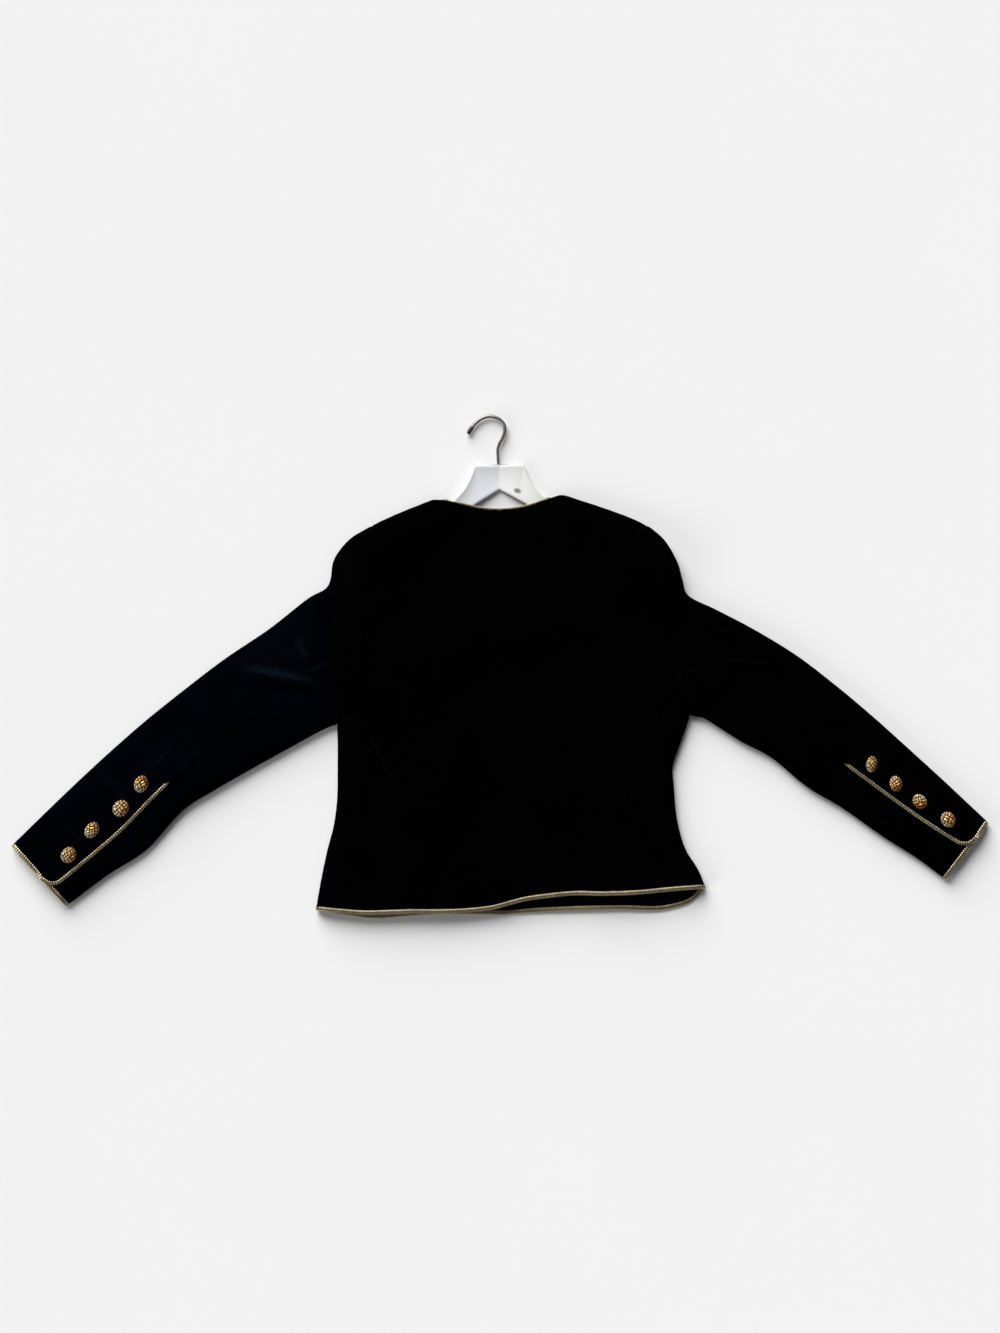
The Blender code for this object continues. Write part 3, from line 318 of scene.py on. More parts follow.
LEFT_SLEEVE = tuple(Section(*row) for row in (
    (-158.8, 173.8, -202.5, -74, 0.380),
    (-186.5, 157, -203.2, -74.2, 0.380),
    (-206, 132, -204.2, -74.6, 0.380),
    (-210.5, 107, -205.8, -75, 0.378),
    (-217.5, 94.8, -208.2, -75.8, 0.375),
    (-240, 82.3, -212, -77.2, 0.372),
    (-287.5, 45, -224, -82.8, 0.367),
    (-343.8, 7, -264, -105, 0.360),
    (-393, -30.5, -311, -131, 0.350),
    (-440.5, -68.5, -357, -157.5, 0.335),
    (-483, -105.5, -396.2, -183, 0.305),
    (-524.3, -143.5, -441, -231.5, 0.308),
    (-563, -180.5, -489.5, -263, 0.264),
    (-609.6, -226, -541, -301.5, 0.258),
))
RIGHT_SLEEVE = tuple(Section(*row) for row in (
    (185, 173.8, 238.8, -62.5, 0.380),
    (205.8, 157, 239.5, -62.7, 0.382),
    (222.6, 129.2, 240.6, -62.9, 0.384),
    (229.3, 106.3, 242.4, -63.2, 0.387),
    (237, 86.5, 245, -63.8, 0.390),
    (271.3, 69.3, 249.5, -65, 0.395),
    (318.8, 44.5, 261, -69.5, 0.403),
    (372, 12, 303, -96, 0.410),
    (420.8, -25.2, 340.5, -116, 0.415),
    (465.7, -62.9, 385.5, -152.8, 0.414),
    (508.7, -101.4, 430, -179.5, 0.404),
    (554.5, -143.1, 481.2, -215.6, 0.426),
    (585.7, -172.3, 522.2, -241.5, 0.452),
    (611.9, -196.9, 558.5, -268.5, 0.515),
))
CUFF = 13.0
VENT_TOP = {"left": 9.6, "right": 9.25}
ARMHOLE_SKEW = 0.8  # its bow is deepest below its middle
BACK_ARMHOLE_BOW = 17.0
FRONT_ARMHOLE_BOW = 24.0
SIDE_BACK_SHARE = 0.17  # where the side-back, back sleeve and front sleeve seams meet the armhole
FRONT_SEAM_SHARE = 0.48

MOUNDS = tuple(Mound(*row) for row in (
    (-176, 132, 54, 64, 18),
    (200, 132, 54, 64, 18),
    (-88, 192, 62, 45, 9),
    (95, 194, 62, 45, 9),
    (8, 70, 200, 110, 3),
    (-110, -305, 130, 45, 3),
    (150, -290, 90, 40, 5),
    (-275, -12, 78, 62, 7),
    (-400, -110, 90, 70, 4),
    (300, -8, 78, 62, 7),
    (420, -95, 90, 70, 4),
    (-585, -260, 70, 60, 0.5),
    (590, -225, 70, 60, -0.5),
))
UPPER_FOLDS = tuple(Fold(*row) for row in (  # soft ridges and troughs of the face that shows
    (((-212, 94), (-206, 30)), 11, -8, 1, 0),
    (((236, 86), (223, 28)), 11, -8, 1, 0),
    (((-327, -2), (-275, -12), (-220, -23)), 10, 5, 1.3, 1),
    (((-252, 34), (-238, 0)), 9, 3, 1, 0.5),
    (((218, 2), (308, -46)), 12, 3.5, 1, 0.3),
    (((268, 8), (372, -6)), 8, 3, 1, 0.3),
    (((250, 52), (306, 30)), 9, 2.5, 1, 0.3),
    (((-205, -58), (-160, -86)), 8, 3, 1, 0.5),
    (((-160, -86), (-126, -158)), 9, 2.5, 1, 0.4),
    (((236, -58), (190, -92)), 9, 2.5, 1, 0.2),
    (((-448, -148), (-402, -86)), 8, 2.5, 1, 0.06),
    (((-428, -190), (-388, -150)), 9, 3, 1, 0.05),
    (((450, -192), (512, -206)), 8, 3, 1, 0.3),
    (((352, -118), (398, -128)), 9, 2.5, 1, 0.1),
    (((-204, -196), (-120, -190)), 12, -2, 1, 0),
    (((222, -178), (150, -186)), 12, -2, 1, 0),
    (((-318, -18), (-268, -36), (-214, -40)), 6, -2.2, 1.7, 0),
    (((-248, -9), (-230, -5), (-211, 3)), 3.2, 1.8, 1.5, 0.6),
    (((-246, 40), (-238, 18), (-240, 2)), 4, 1.2, 0.6, 0.6),
    (((-300, 34), (-262, 10), (-214, 4)), 10, 1.6, 1.4, 0.05),
    (((-356, -30), (-300, -62), (-246, -72)), 12, 1.8, 1.6, 0.03),
    (((-372, -8), (-334, -40), (-306, -84)), 11, -1.6, 1, 0),
    (((-408, -62), (-386, -92), (-372, -134)), 9, 1.7, 1.5, 0.05),
    (((-402, -140), (-388, -122), (-374, -108)), 3.6, 1.1, 0.7, 0.22),
    (((-437, -134), (-420, -116), (-401, -92)), 3.4, 1.3, 1.5, 0.38),
    (((-432, -70), (-420, -100), (-424, -136)), 8, -1.2, 1, 0),
    (((-500, -130), (-474, -160), (-458, -196)), 9, 1.3, 1.6, 0.15),
    (((-560, -196), (-528, -214), (-500, -244)), 10, 1, 1.3, 0.1),
    (((-196, -52), (-174, -68), (-156, -98), (-140, -136)), 4.2, 1.9, 1.6, 0.6),
    (((-190, -80), (-170, -110), (-162, -150)), 8, 1.8, 1.4, 0.2),
    (((-200, -110), (-178, -150), (-176, -200)), 9, 1.3, 0.8, 0.1),
    (((-216, -240), (-176, -222), (-140, -228)), 11, 1.2, 1.3, 0),
    (((-186, 158), (-170, 166), (-150, 172)), 6, 2, 1.5, 0.7),
    (((-196, 140), (-186, 112), (-190, 74)), 9, 2.2, 0.7, 0.3),
    (((-184, 60), (-176, 20), (-182, -24)), 9, 1.8, 1.4, 0.15),
    (((-160, 120), (-128, 84), (-104, 70)), 16, 1.4, 1.3, 0),
    (((206, 142), (198, 112), (204, 74)), 9, 2.2, 1.4, 0.15),
    (((204, 60), (196, 18), (206, -30)), 9, 1.8, 0.7, 0.1),
    (((180, 122), (146, 86), (118, 74)), 16, 1.4, 1.3, 0),
    (((222, -6), (234, -30), (240, -34)), 3.6, 1.9, 1.4, 0.5),
    (((221, -2), (262, -20), (290, -38), (308, -50)), 3.8, 1.7, 1.6, 0.4),
    (((256, 53), (274, 42), (296, 32)), 3.8, 1.6, 1.4, 0.5),
    (((276, 2), (314, 4), (364, -6)), 4, 1.6, 0.7, 0.35),
    (((262, -62), (300, -70), (338, -100)), 12, 1.6, 1.5, 0.1),
    (((330, 18), (352, -16), (356, -60)), 11, -1.4, 1, 0),
    (((376, -26), (392, -60), (396, -104)), 10, 1.5, 1.4, 0.1),
    (((408, -120), (436, -150), (448, -166)), 8, 1.2, 1.2, 0.1),
    (((460, -196), (482, -200), (502, -206)), 3.4, 1.5, 1.4, 0.5),
    (((520, -118), (508, -140), (514, -164)), 9, 1.1, 1.2, 0.1),
    (((230, -60), (206, -86), (194, -130)), 7, 2, 1.5, 0.2),
    (((214, -140), (196, -180), (200, -226)), 9, 1.4, 1.2, 0.1),
    (((236, -236), (200, -226), (168, -236)), 11, 1.3, 1.2, 0),
    (((96, -286), (84, -240), (92, -196)), 13, 1.8, 1.3, 0),
    (((-30, -304), (-42, -256), (-36, -214)), 14, 1.4, 0.8, 0),
    (((-84, -306), (-78, -270), (-84, -240)), 12, -1.2, 1, 0),
    (((176, -284), (184, -258), (180, -232)), 10, 1.5, 1.4, 0),
    (((-60, 186), (-52, 160), (-56, 132)), 13, -1.4, 1, 0),
    (((66, 190), (58, 162), (62, 134)), 13, -1.4, 1, 0),
    (((30, -120), (36, -60), (26, 10)), 18, 1, 1.3, 0),
    (((-70, -120), (-58, -70), (-62, 0)), 18, 0.9, 1.3, 0),
))
LOWER_FOLDS = tuple(Fold(*row) for row in (  # on the face that lies beneath, all upward from the surface
    (((-222, -40), (-270, -56), (-322, -52)), 8, 1.9, 1.5, 0.3),
    (((-212, 20), (-250, 10), (-292, 14)), 9, 1.7, 0.7, 0.2),
    (((-372, -60), (-352, -96), (-352, -128)), 8, 1.6, 1.4, 0.2),
    (((-430, -100), (-420, -136), (-428, -170)), 9, 1.2, 1.4, 0.1),
    (((-498, -152), (-484, -186), (-490, -222)), 8, 1.3, 1.3, 0.1),
    (((252, -30), (300, -40), (350, -34)), 8, 1.8, 1.5, 0.3),
    (((242, 24), (284, 18), (322, 24)), 9, 1.6, 0.7, 0.2),
    (((394, -40), (372, -84), (376, -124)), 8, 1.5, 1.4, 0.2),
    (((452, -84), (440, -124), (452, -160)), 9, 1.2, 1.3, 0.1),
    (((520, -134), (506, -168), (516, -204)), 8, 1.3, 1.3, 0.1),
    (((-196, -84), (-150, -120), (-118, -190)), 11, 1.9, 1.5, 0.2),
    (((-188, -40), (-130, -60), (-90, -40)), 12, 1.6, 0.8, 0.1),
    (((-180, 40), (-140, 20), (-110, -10)), 11, 1.4, 1.3, 0.1),
    (((-60, -300), (-66, -230), (-54, -170)), 13, 1.6, 1.3, 0),
    (((-150, -306), (-140, -270), (-150, -230)), 11, 1.4, 1.2, 0),
    (((210, -92), (166, -130), (140, -196)), 11, 1.9, 0.7, 0.2),
    (((206, -34), (150, -60), (112, -44)), 12, 1.6, 1.3, 0.1),
    (((196, 40), (156, 20), (128, -12)), 11, 1.4, 1.3, 0.1),
    (((74, -300), (84, -236), (76, -176)), 13, 1.5, 0.8, 0),
    (((190, -300), (176, -262), (184, -226)), 11, 1.4, 1.2, 0),
    (((-10, -314), (118, -309), (246, -297)), 15, 3.6, 1, 0),
))

BUTTONS = {  # the second-last column is the side where each one's gilding gets a painted highlight, with painted shade opposite, and the last is how much painted light lifts or darkens it all
    "left": (
        Button(-535.7, -236.4, -8, 10, 48, 0.82, 205, 0.25),
        Button(-507.2, -205.5, 12, 6, 57, 0.75, 225, 0.15),
        Button(-470.8, -178.5, 0, 3, 46, 0.88, 190, 0.20),
        Button(-445.5, -148.1, 14, 8, 68, 0.79, 235, 0.10),
    ),
    "right": (
        Button(463.7, -123.3, 16, 0, 80, 0.72, 215, -0.20),
        Button(494, -148.3, 8, -6, 102, 0.78, 120, -0.25),
        Button(524.1, -170, -6, 8, 129, 0.82, 95, -0.20),
        Button(559.6, -192.6, -8, -6, 121, 0.88, 185, 0.00),
    ),
}
HANGER_TOP_EDGE = (  # right half, from the crown's middle out along the arm to its tip
    (0, 250.6), (18, 250.7), (28, 250.7), (29.9, 250.4), (30.8, 249.2), (32.4, 244.8), (37.2, 233),
    (46.5, 218.6), (54.5, 210.6), (61.5, 203.8), (74, 196.6), (90, 188.8), (130, 171),
    (165, 153), (179, 143), (184, 133),
)
HANGER_LOW_EDGE = (
    (0, 219.6), (30, 202), (80, 168.5), (120, 146), (155, 127.5), (172, 120.5),
    (181, 124), (184, 133),
)
HOOK_ROUTE = (
    (-0.8, 251.2), (-1.4, 262), (-1.6, 269.5), (0.4, 276.5), (4.6, 284.5), (7.4, 293), (6.4, 300.5),
    (1, 307), (-6.5, 310.4), (-14.5, 310.8), (-22, 308.2), (-29, 302.8), (-35, 295.5),
    (-38.8, 288.5),
)


# ---- curves ----------------------------------------------------------------------------------------

def through(knots, rows, where):
    """A smooth curve through rows at knots. Between two knots each value is the cubic that meets both rows
    with the slopes found from their neighbours."""
    slopes = np.gradient(rows, knots, axis=0)
    start = np.clip(np.searchsorted(knots, where, side="right") - 1, 0, len(knots) - 2)
    span = (knots[start + 1] - knots[start])[:, None]
    t = (where - knots[start])[:, None] / span
    return (
        (2 * t**3 - 3 * t**2 + 1) * rows[start]
        + (t**3 - 2 * t**2 + t) * span * slopes[start]
        + (3 * t**2 - 2 * t**3) * rows[start + 1]
        + (t**3 - t**2) * span * slopes[start + 1]
    )


def along(table, where, evenly=False):
    """A smooth curve through a table's rows, read at shares of its length, or at row numbers."""
    rows = np.asarray(table, float)
    if evenly:
        knots = np.arange(len(rows), dtype=float)
    else:
        steps = np.linalg.norm(np.diff(rows, axis=0), axis=1)
        knots = np.concatenate([[0.0], np.cumsum(steps)]) / steps.sum()
    return through(knots, rows, np.atleast_1d(np.asarray(where, float)))


def share_at_x(table, x):
    """The share of a curve's length at which it passes x. The curve runs one way in x."""
    shares = np.linspace(0, 1, CURVE_POINTS)
    return float(np.interp(x, along(table, shares)[:, 0], shares))


def eased(share):
    """3 t^2 - 2 t^3, with t the share held from 0 to 1."""
    share = np.clip(share, 0, 1)
    return share * share * (3 - 2 * share)


def quarter_round(share):
    """sqrt(1 - (1 - t)^2): a quarter circle while t goes from 0 to 1, then level."""
    return np.sqrt(1 - (1 - np.clip(share, 0, 1)) ** 2)


def bell(distance, width):
    """exp(-(distance / width)^2)."""
    return np.exp(-((distance / width) ** 2))


def graded(length):
    """Shares from 0 to 1 of a length. Steps grow from each end by a fixed ratio up to the full step."""
    count = int(math.log(GRID / GRID_AT_EDGE) / math.log(GRID_GROWTH)) + 1
    reach = np.concatenate([[0.0], np.cumsum(GRID_AT_EDGE * GRID_GROWTH ** np.arange(count))])
    inner = np.linspace(reach[-1], length - reach[-1], max(int((length - 2 * reach[-1]) / GRID), 1) + 1)
    return np.concatenate([reach[:-1], inner, length - reach[:-1][::-1]]) / length


def side_tables(side):
    """Side fold, shoulder fold, front neck and side-back seam of one side."""
    if side == "left":
        return LEFT_SIDE, LEFT_SHOULDER, LEFT_FRONT_NECK, LEFT_BACK_SEAM
    return RIGHT_SIDE, RIGHT_SHOULDER, RIGHT_FRONT_NECK, RIGHT_BACK_SEAM


def sleeve_section(side, rows):
    """Upper fold, lower fold and seam share of a sleeve, at fractional section numbers."""
    read = along(LEFT_SLEEVE if side == "left" else RIGHT_SLEEVE, rows, evenly=True)
    return read[:, 0:2], read[:, 2:4], read[:, 4]


def armhole(side, face, shares):
    """The straight line from underarm (0) to shoulder (1), bowed into the body by bow sin(pi t^skew)."""
    shares = np.asarray(shares, float)[..., None]
    upper, lower, _ = sleeve_section(side, [0.0])
    bow = BACK_ARMHOLE_BOW if face == "upper" else FRONT_ARMHOLE_BOW
    inward = np.array([bow if side == "left" else -bow, 0.0])
    return lower + shares * (upper - lower) + np.sin(math.pi * shares**ARMHOLE_SKEW) * inward


# ---- how the cloth lies ----------------------------------------------------------------------------

def fold_lines(side):
    """The folds round one side of the garment, as close polylines. Open edges are left out."""
    shares = np.linspace(0, 1, FLANK_POINTS)
    flank, shoulder = side_tables(side)[:2]
    upper, lower, _ = sleeve_section(side, np.linspace(0, CUFF, SLEEVE_POINTS))
    return np.vstack([along(flank, shares), lower[1:]]), np.vstack([along(shoulder, shares), upper[1:]])


def to_line(points, line):
    """Distance to a polyline, share of the way along it, and side: +1 to the left of it, -1 to the right."""
    start, run = line[:-1], np.diff(line, axis=0)
    offset = points[:, None, :] - start[None]
    t = np.clip((offset * run).sum(2) / (run**2).sum(1), 0, 1)
    gap = offset - t[:, :, None] * run
    squared = (gap**2).sum(2)
    pick = squared.argmin(1)
    each = np.arange(len(points))
    turn = run[pick, 0] * gap[each, pick, 1] - run[pick, 1] * gap[each, pick, 0]
    return np.sqrt(squared[each, pick]), (pick + t[each, pick]) / len(run), np.sign(turn)


def from_folds(plan, side):
    """Distance of each plan point to the nearest fold of its side."""
    flat = plan.reshape(-1, 2)
    parts = [
        np.min([to_line(part, line)[0] for line in fold_lines(side)], axis=0)
        for part in np.array_split(flat, len(flat) // BATCH + 1)
    ]
    return np.concatenate(parts).reshape(plan.shape[:-1])


def level_height(plan):
    """The level cloth's height plus its mounds, each rise exp(-(dx/rx)^2 - (dy/ry)^2)."""
    x, y = plan[..., 0], plan[..., 1]
    height = np.full(x.shape, LEVEL_HEIGHT)
    for m in MOUNDS:
        height += m.rise * bell(x - m.x, m.reach_x) * bell(y - m.y, m.reach_y)
    return height


def fold_relief(plan, folds):
    """Height and pressed pile of soft folds. Across a fold's line the height is rise exp(-(d/width)^2),
    wider by the factor steep on its left, and along the line it tapers as 1 - (2t - 1)^2, to a power.
    Pressed pile, with its painted crease highlight, is the same over a share of the width."""
    flat = plan.reshape(-1, 2)
    height, pressed = np.zeros(len(flat)), np.zeros(len(flat))
    for fold in folds:
        line = along(fold.route, np.linspace(0, 1, FOLD_POINTS))
        reach = FOLD_REACH * fold.width * max(1.0, fold.steep)
        near = np.flatnonzero(((flat > line.min(0) - reach) & (flat < line.max(0) + reach)).all(1))
        if not len(near):
            continue
        distance, t, hand = to_line(flat[near], line)
        width = np.where(hand > 0, fold.width * fold.steep, fold.width)
        taper = np.clip(1 - (2 * t - 1) ** 2, 0, None) ** FOLD_TAPER
        height[near] += fold.rise * taper * bell(distance, width)
        crease = fold.pressed * taper * bell(distance, PRESSED_AND_HIGHLIGHT_WIDTH * width)
        pressed[near] = np.maximum(pressed[near], crease)
    return height.reshape(plan.shape[:-1]), pressed.reshape(plan.shape[:-1])


def drape(plan):
    """Slow rise and fall of cloth laid by hand: crossed waves rise sin(d / length + bend + start), each
    bent by another wave."""
    x, y = plan[..., 0], plan[..., 1]
    height = np.zeros(x.shape)
    for w in DRAPE:
        bend = w.bend * np.sin((x * w.bend_across + y * w.bend_up) / w.bend_length + w.bend_start)
        height += w.rise * np.sin((x * w.across + y * w.up) / w.length + bend + w.start)
    return height


def laid(plan, side, folded, is_upper, part_gap=0.0, lift=0.0):
    """Points of the laid cloth's outer face, and how far its pile is pressed, with a painted crease
    highlight.
    The upper layer's height is middle + rise g(d/roll) + folds g^2 and the lower one's middle (1 - g)
    + folds g^2, with g the quarter circle and d the distance to the nearest fold. folded marks points on a
      fold."""
    distance = np.where(folded, 0.0, from_folds(plan, side))
    level = level_height(plan)
    middle = MIDDLE_SHARE * level
    crowned = level * (1 - CROWN_DROP * np.exp(-distance / CROWN_REACH))
    rise = np.where(is_upper, crowned - middle, middle)
    roll = np.where(is_upper, UPPER_ROLL * (level - middle), LOWER_ROLL * middle)
    up = quarter_round(distance / roll)
    above, pressed_and_highlight_above = fold_relief(plan, UPPER_FOLDS)
    below, pressed_and_highlight_below = fold_relief(plan, LOWER_FOLDS)
    upper_z = middle + part_gap / 2 + rise * up + (above + drape(plan)) * up**2
    lower_z = (middle - part_gap / 2) * (1 - up) + below * up**2
    z = np.where(is_upper, upper_z, lower_z) + lift
    return np.dstack([plan, z]), np.where(is_upper, pressed_and_highlight_above, pressed_and_highlight_below) * up


def normals(points, is_upper):
    """Unit normals of a grid of points, facing out of the garment: the cross product of its two slopes."""
    across, upward = np.gradient(points, axis=1), np.gradient(points, axis=0)
    found = np.cross(across, upward)
    found /= np.linalg.norm(found, axis=-1)[..., None]
    turned = (found[..., 2] * np.where(is_upper, 1.0, -1.0)).sum() < 0
    return (-found if turned else found), turned


def lengths(points, axis):
    """Length along each line of a grid from its start, and each line's whole length."""
    steps = np.linalg.norm(np.diff(points, axis=axis), axis=-1)
    start = np.zeros_like(np.take(steps, [0], axis=axis))
    reach = np.concatenate([start, np.cumsum(steps, axis=axis)], axis=axis)
    return reach, np.take(reach, [-1], axis=axis)


def seam_relief(distance, run):
    """Beside a seam: -depth exp(-(d/w)^2) + ridge exp(-((d - place)/width)^2) and puckers that die away."""
    waves = np.sin(2 * math.pi * run / PUCKER_PITCH + 2 * np.sin(2 * math.pi * run / PUCKER_DRIFT))
    return (
        -SEAM_DEPTH * bell(distance, SEAM_WIDTH)
        + SEAM_RIDGE * bell(distance - SEAM_RIDGE_PLACE, SEAM_RIDGE_WIDTH)
        + PUCKER * waves * np.exp(-distance / PUCKER_REACH) * (1 - bell(distance, PUCKER_CLEAR))
    )


def head_ease(distance, run):
    """Fullness eased into the sleeve's head: ease (1 + cos(2 pi s / pitch)) / 2 exp(-d / reach)."""
    return EASE * (0.5 + 0.5 * np.cos(2 * math.pi * run / EASE_PITCH)) * np.exp(-distance / EASE_REACH)


def made_cloth(points, pressed, is_upper, seams, ease=False):
    """Gives laid points their seams and their thickness. seams names the edges that are sewn to a
    neighbour, each with the share of it, from 0 to 1 at every point, that is sewn."""
    normal, turned = normals(points, is_upper)
    across, width = lengths(points, 1)
    upward, height = lengths(points, 0)
    places = {
        "left": (across, upward), "right": (width - across, upward),
        "bottom": (upward, across), "top": (height - upward, across),
    }
    relief = np.zeros(points.shape[:2])
    for edge, sewn in seams.items():
        relief += seam_relief(*places[edge]) * sewn
    if ease:
        relief += head_ease(upward, across)
    outer = points + relief[..., None] * normal
    outer[..., 2] = np.maximum(outer[..., 2], 0.0)
    inner = points - CLOTH * normal
    return Cloth(outer, inner, pressed, np.dstack([across, upward]), turned)


# ---- panels of the body ----------------------------------------------------------------------------

def coons(edges, u, v):
    """P(u, v) = (1-v) B(u) + v T(u) + (1-u) L(v) + u R(v), less the same blend of the four corners."""
    bottom, top, left, right = edges

    def read(edge, share):
        return edge(share.reshape(-1)).reshape(share.shape + (2,))

    ends = np.array([0.0, 1.0])
    (low_left, low_right), (high_left, high_right) = bottom(ends), top(ends)
    across, upward = u[..., None], v[..., None]
    ruled = (1 - upward) * read(bottom, u) + upward * read(top, u)
    ruled += (1 - across) * read(left, v) + across * read(right, v)
    corners = (1 - upward) * ((1 - across) * low_left + across * low_right)
    corners += upward * ((1 - across) * high_left + across * high_right)
    return ruled - corners


def panel(edges, columns, rows, hem=0.0, left=0.0, right=0.0, top=0.0):
    """Grid of a panel's plan, drawn in from its edges by distances measured square to them."""
    u, v = np.meshgrid(columns, rows)
    probe = 0.01  # the share upward over which the panel's slope is measured
    low, ahead = coons(edges, u[:1], v[:1] * 0), coons(edges, u[:1], v[:1] * 0 + probe)
    run = np.gradient(low[0], axis=0)
    run /= np.linalg.norm(run, axis=1)[:, None]
    step = (ahead - low)[0] / probe
    square = np.abs(step[:, 0] * run[:, 1] - step[:, 1] * run[:, 0])
    height = np.linalg.norm(step, axis=1)
    v = hem / square + (1 - hem / square - top / height) * v
    width = np.linalg.norm(coons(edges, v * 0 + 1.0, v) - coons(edges, v * 0.0, v), axis=-1)
    u = left / width + (1 - (left + right) / width) * u
    return coons(edges, u, v)


def hem_curve(table, x_from, x_to):
    """Part of a hem's finished edge between two x places, as a function of its share."""
    first, last = share_at_x(table, x_from), share_at_x(table, x_to)
    return lambda share: along(table, first + (last - first) * share)


def neck_curve(table, side, centre, distance):
    """Half a neck edge from neck point to centre, moved a distance along its normals, away from centre."""
    fine = np.linspace(0, 1, NECK_POINTS)
    if table is BACK_NECK:
        middle = share_at_x(table, CENTRE_BACK[-1][0])
        end = 0.0 if side == "left" else 1.0
        curve = along(table, end + (middle - end) * fine)
    else:
        curve = along(table, fine)
    run = np.gradient(curve, axis=0)
    normal = np.stack([-run[:, 1], run[:, 0]], 1) / np.linalg.norm(run, axis=1)[:, None]
    facing = np.sign(((curve - centre) * normal).sum(1))
    moved = curve + distance * facing[:, None] * normal
    return lambda share: np.stack([np.interp(share, fine, moved[:, axis]) for axis in (0, 1)], -1)


def top_curve(shoulder, neck):
    """Shoulder fold up to where the braid crosses it, a short straight, then the neck to the centre."""
    length = np.linalg.norm(np.diff(np.asarray(shoulder), axis=0), axis=1).sum()

    def read(share):
        on_fold = along(shoulder, 1 - (1 - SHOULDER_END / length) * np.clip(share / SHOULDER_SHARE, 0, 1))
        place = (share - SHOULDER_SHARE) / (1 - SHOULDER_SHARE)
        least = (NECK_SHARE - SHOULDER_SHARE) / (1 - SHOULDER_SHARE)
        on_neck = neck(np.clip(place, least, 1))
        cross = np.clip((share - SHOULDER_SHARE) / (NECK_SHARE - SHOULDER_SHARE), 0, 1)[:, None]
        return (1 - cross) * on_fold + cross * on_neck

    return read


def outer_curve(low, hole):
    """A panel's outer edge: its seam or fold from the hem up to the armhole, then the armhole."""

    def read(share):
        below = along(low, np.clip(share / SIDE_SHARE, 0, 1))
        above = hole(np.clip((share - SIDE_SHARE) / (1 - SIDE_SHARE), 0, 1))
        return np.where(share[:, None] < SIDE_SHARE, below, above)

    return read


def centre_curve(bottom, middle, top):
    """Centre edge, from the hem's end over the table's middle rows to the neck's end."""
    end = np.array([1.0])
    return lambda share: along(np.vstack([bottom(end), middle, top(end)]), share)


def laid_panel(side, plan, is_upper, folded, sewn):
    """Cloth of one face of the body, from its plan, its points on a fold and its sewn edges."""
    is_upper = np.full(plan.shape[:2], is_upper)
    points, pressed = laid(plan, side, folded, is_upper, part_gap=2 * HALF_GAP)
    return made_cloth(points, pressed, is_upper, sewn)


def side_back(side, drawn_in=EDGE_UNDER_BRAID):
    """The panel between the side fold and the side-back seam."""
    flank, _, _, seam = side_tables(side)

    def hole(share):
        return armhole(side, "upper", SIDE_BACK_SHARE * share)

    edges = (
        hem_curve(BACK_HEM, flank[0][0], seam[0][0]), hole,
        lambda share: along(flank, share),
        lambda share: along(np.vstack([seam, hole(np.array([1.0]))]), share),
    )
    columns, rows = map(graded, SIDE_BACK_GRID)
    plan = panel(edges, columns, rows, hem=drawn_in, right=HALF_GAP, top=HALF_GAP)
    folded = np.zeros(plan.shape[:2], bool)
    folded[:, 0] = True
    return laid_panel(side, plan, True, folded, {"left": 1.0, "right": 1.0, "top": 1.0})


def back(side, drawn_in=EDGE_UNDER_BRAID):
    """The panel between the side-back seam and the centre back."""
    _, shoulder, _, seam = side_tables(side)

    def hole(share):
        return armhole(side, "upper", SIDE_BACK_SHARE + (1 - SIDE_BACK_SHARE) * share)

    bottom = hem_curve(BACK_HEM, seam[0][0], CENTRE_BACK[0][0])
    top = top_curve(shoulder, neck_curve(BACK_NECK, side, BACK_NECK_CENTRE, drawn_in))
    low = np.vstack([seam, hole(np.array([0.0]))])
    edges = (bottom, top, outer_curve(low, hole), centre_curve(bottom, CENTRE_BACK[1:-1], top))
    columns, rows = map(graded, BACK_GRID)
    plan = panel(edges, columns, rows, hem=drawn_in, left=HALF_GAP, right=HALF_GAP)
    folded = np.zeros(plan.shape[:2], bool)
    folded[-1] = columns <= SHOULDER_SHARE
    return laid_panel(side, plan, True, folded, {"left": 1.0, "right": 1.0, "top": folded[-1] * 1.0})


def front(side, drawn_in=EDGE_UNDER_BRAID):
    """The panel that lies beneath, from the side fold and armhole to the centre front."""
    flank, shoulder, neck, _ = side_tables(side)

    def hole(share):
        return armhole(side, "lower", share)

    bottom = hem_curve(FRONT_HEM, flank[0][0], CENTRE_FRONT[0][0])
    top = top_curve(shoulder, neck_curve(neck, side, FRONT_NECK_CENTRE, drawn_in))
    edges = (bottom, top, outer_curve(flank, hole), centre_curve(bottom, CENTRE_FRONT[1:-1], top))
    columns, rows = map(graded, FRONT_GRID)
    below = rows <= SIDE_SHARE
    gap = np.where(below, 0.0, HALF_GAP)[:, None]
    plan = panel(edges, columns, rows, hem=drawn_in, left=gap, right=HALF_GAP)
    folded = np.zeros(plan.shape[:2], bool)
    folded[below, 0] = True
    folded[-1] = columns <= SHOULDER_SHARE
    return laid_panel(side, plan, False, folded, {"left": 1.0, "top": folded[-1] * 1.0})


# ---- sleeves ---------------------------------------------------------------------------------------

def sleeve_plan(side, face, rows, shares):
    """One face of a sleeve: straight across each section, and near the armhole bowed as the armhole is,
    by the share (1 - row / fade)^2."""
    upper, lower, _ = sleeve_section(side, rows)
    plan = lower[:, None] + shares[..., None] * (upper - lower)[:, None]
    first_upper, first_lower, _ = sleeve_section(side, [0.0])
    fade = np.clip(1 - rows / ARMHOLE_FADE, 0, 1) ** 2
    straight = first_lower + shares[..., None] * (first_upper - first_lower)
    return plan + (armhole(side, face, shares) - straight) * fade[:, None, None]


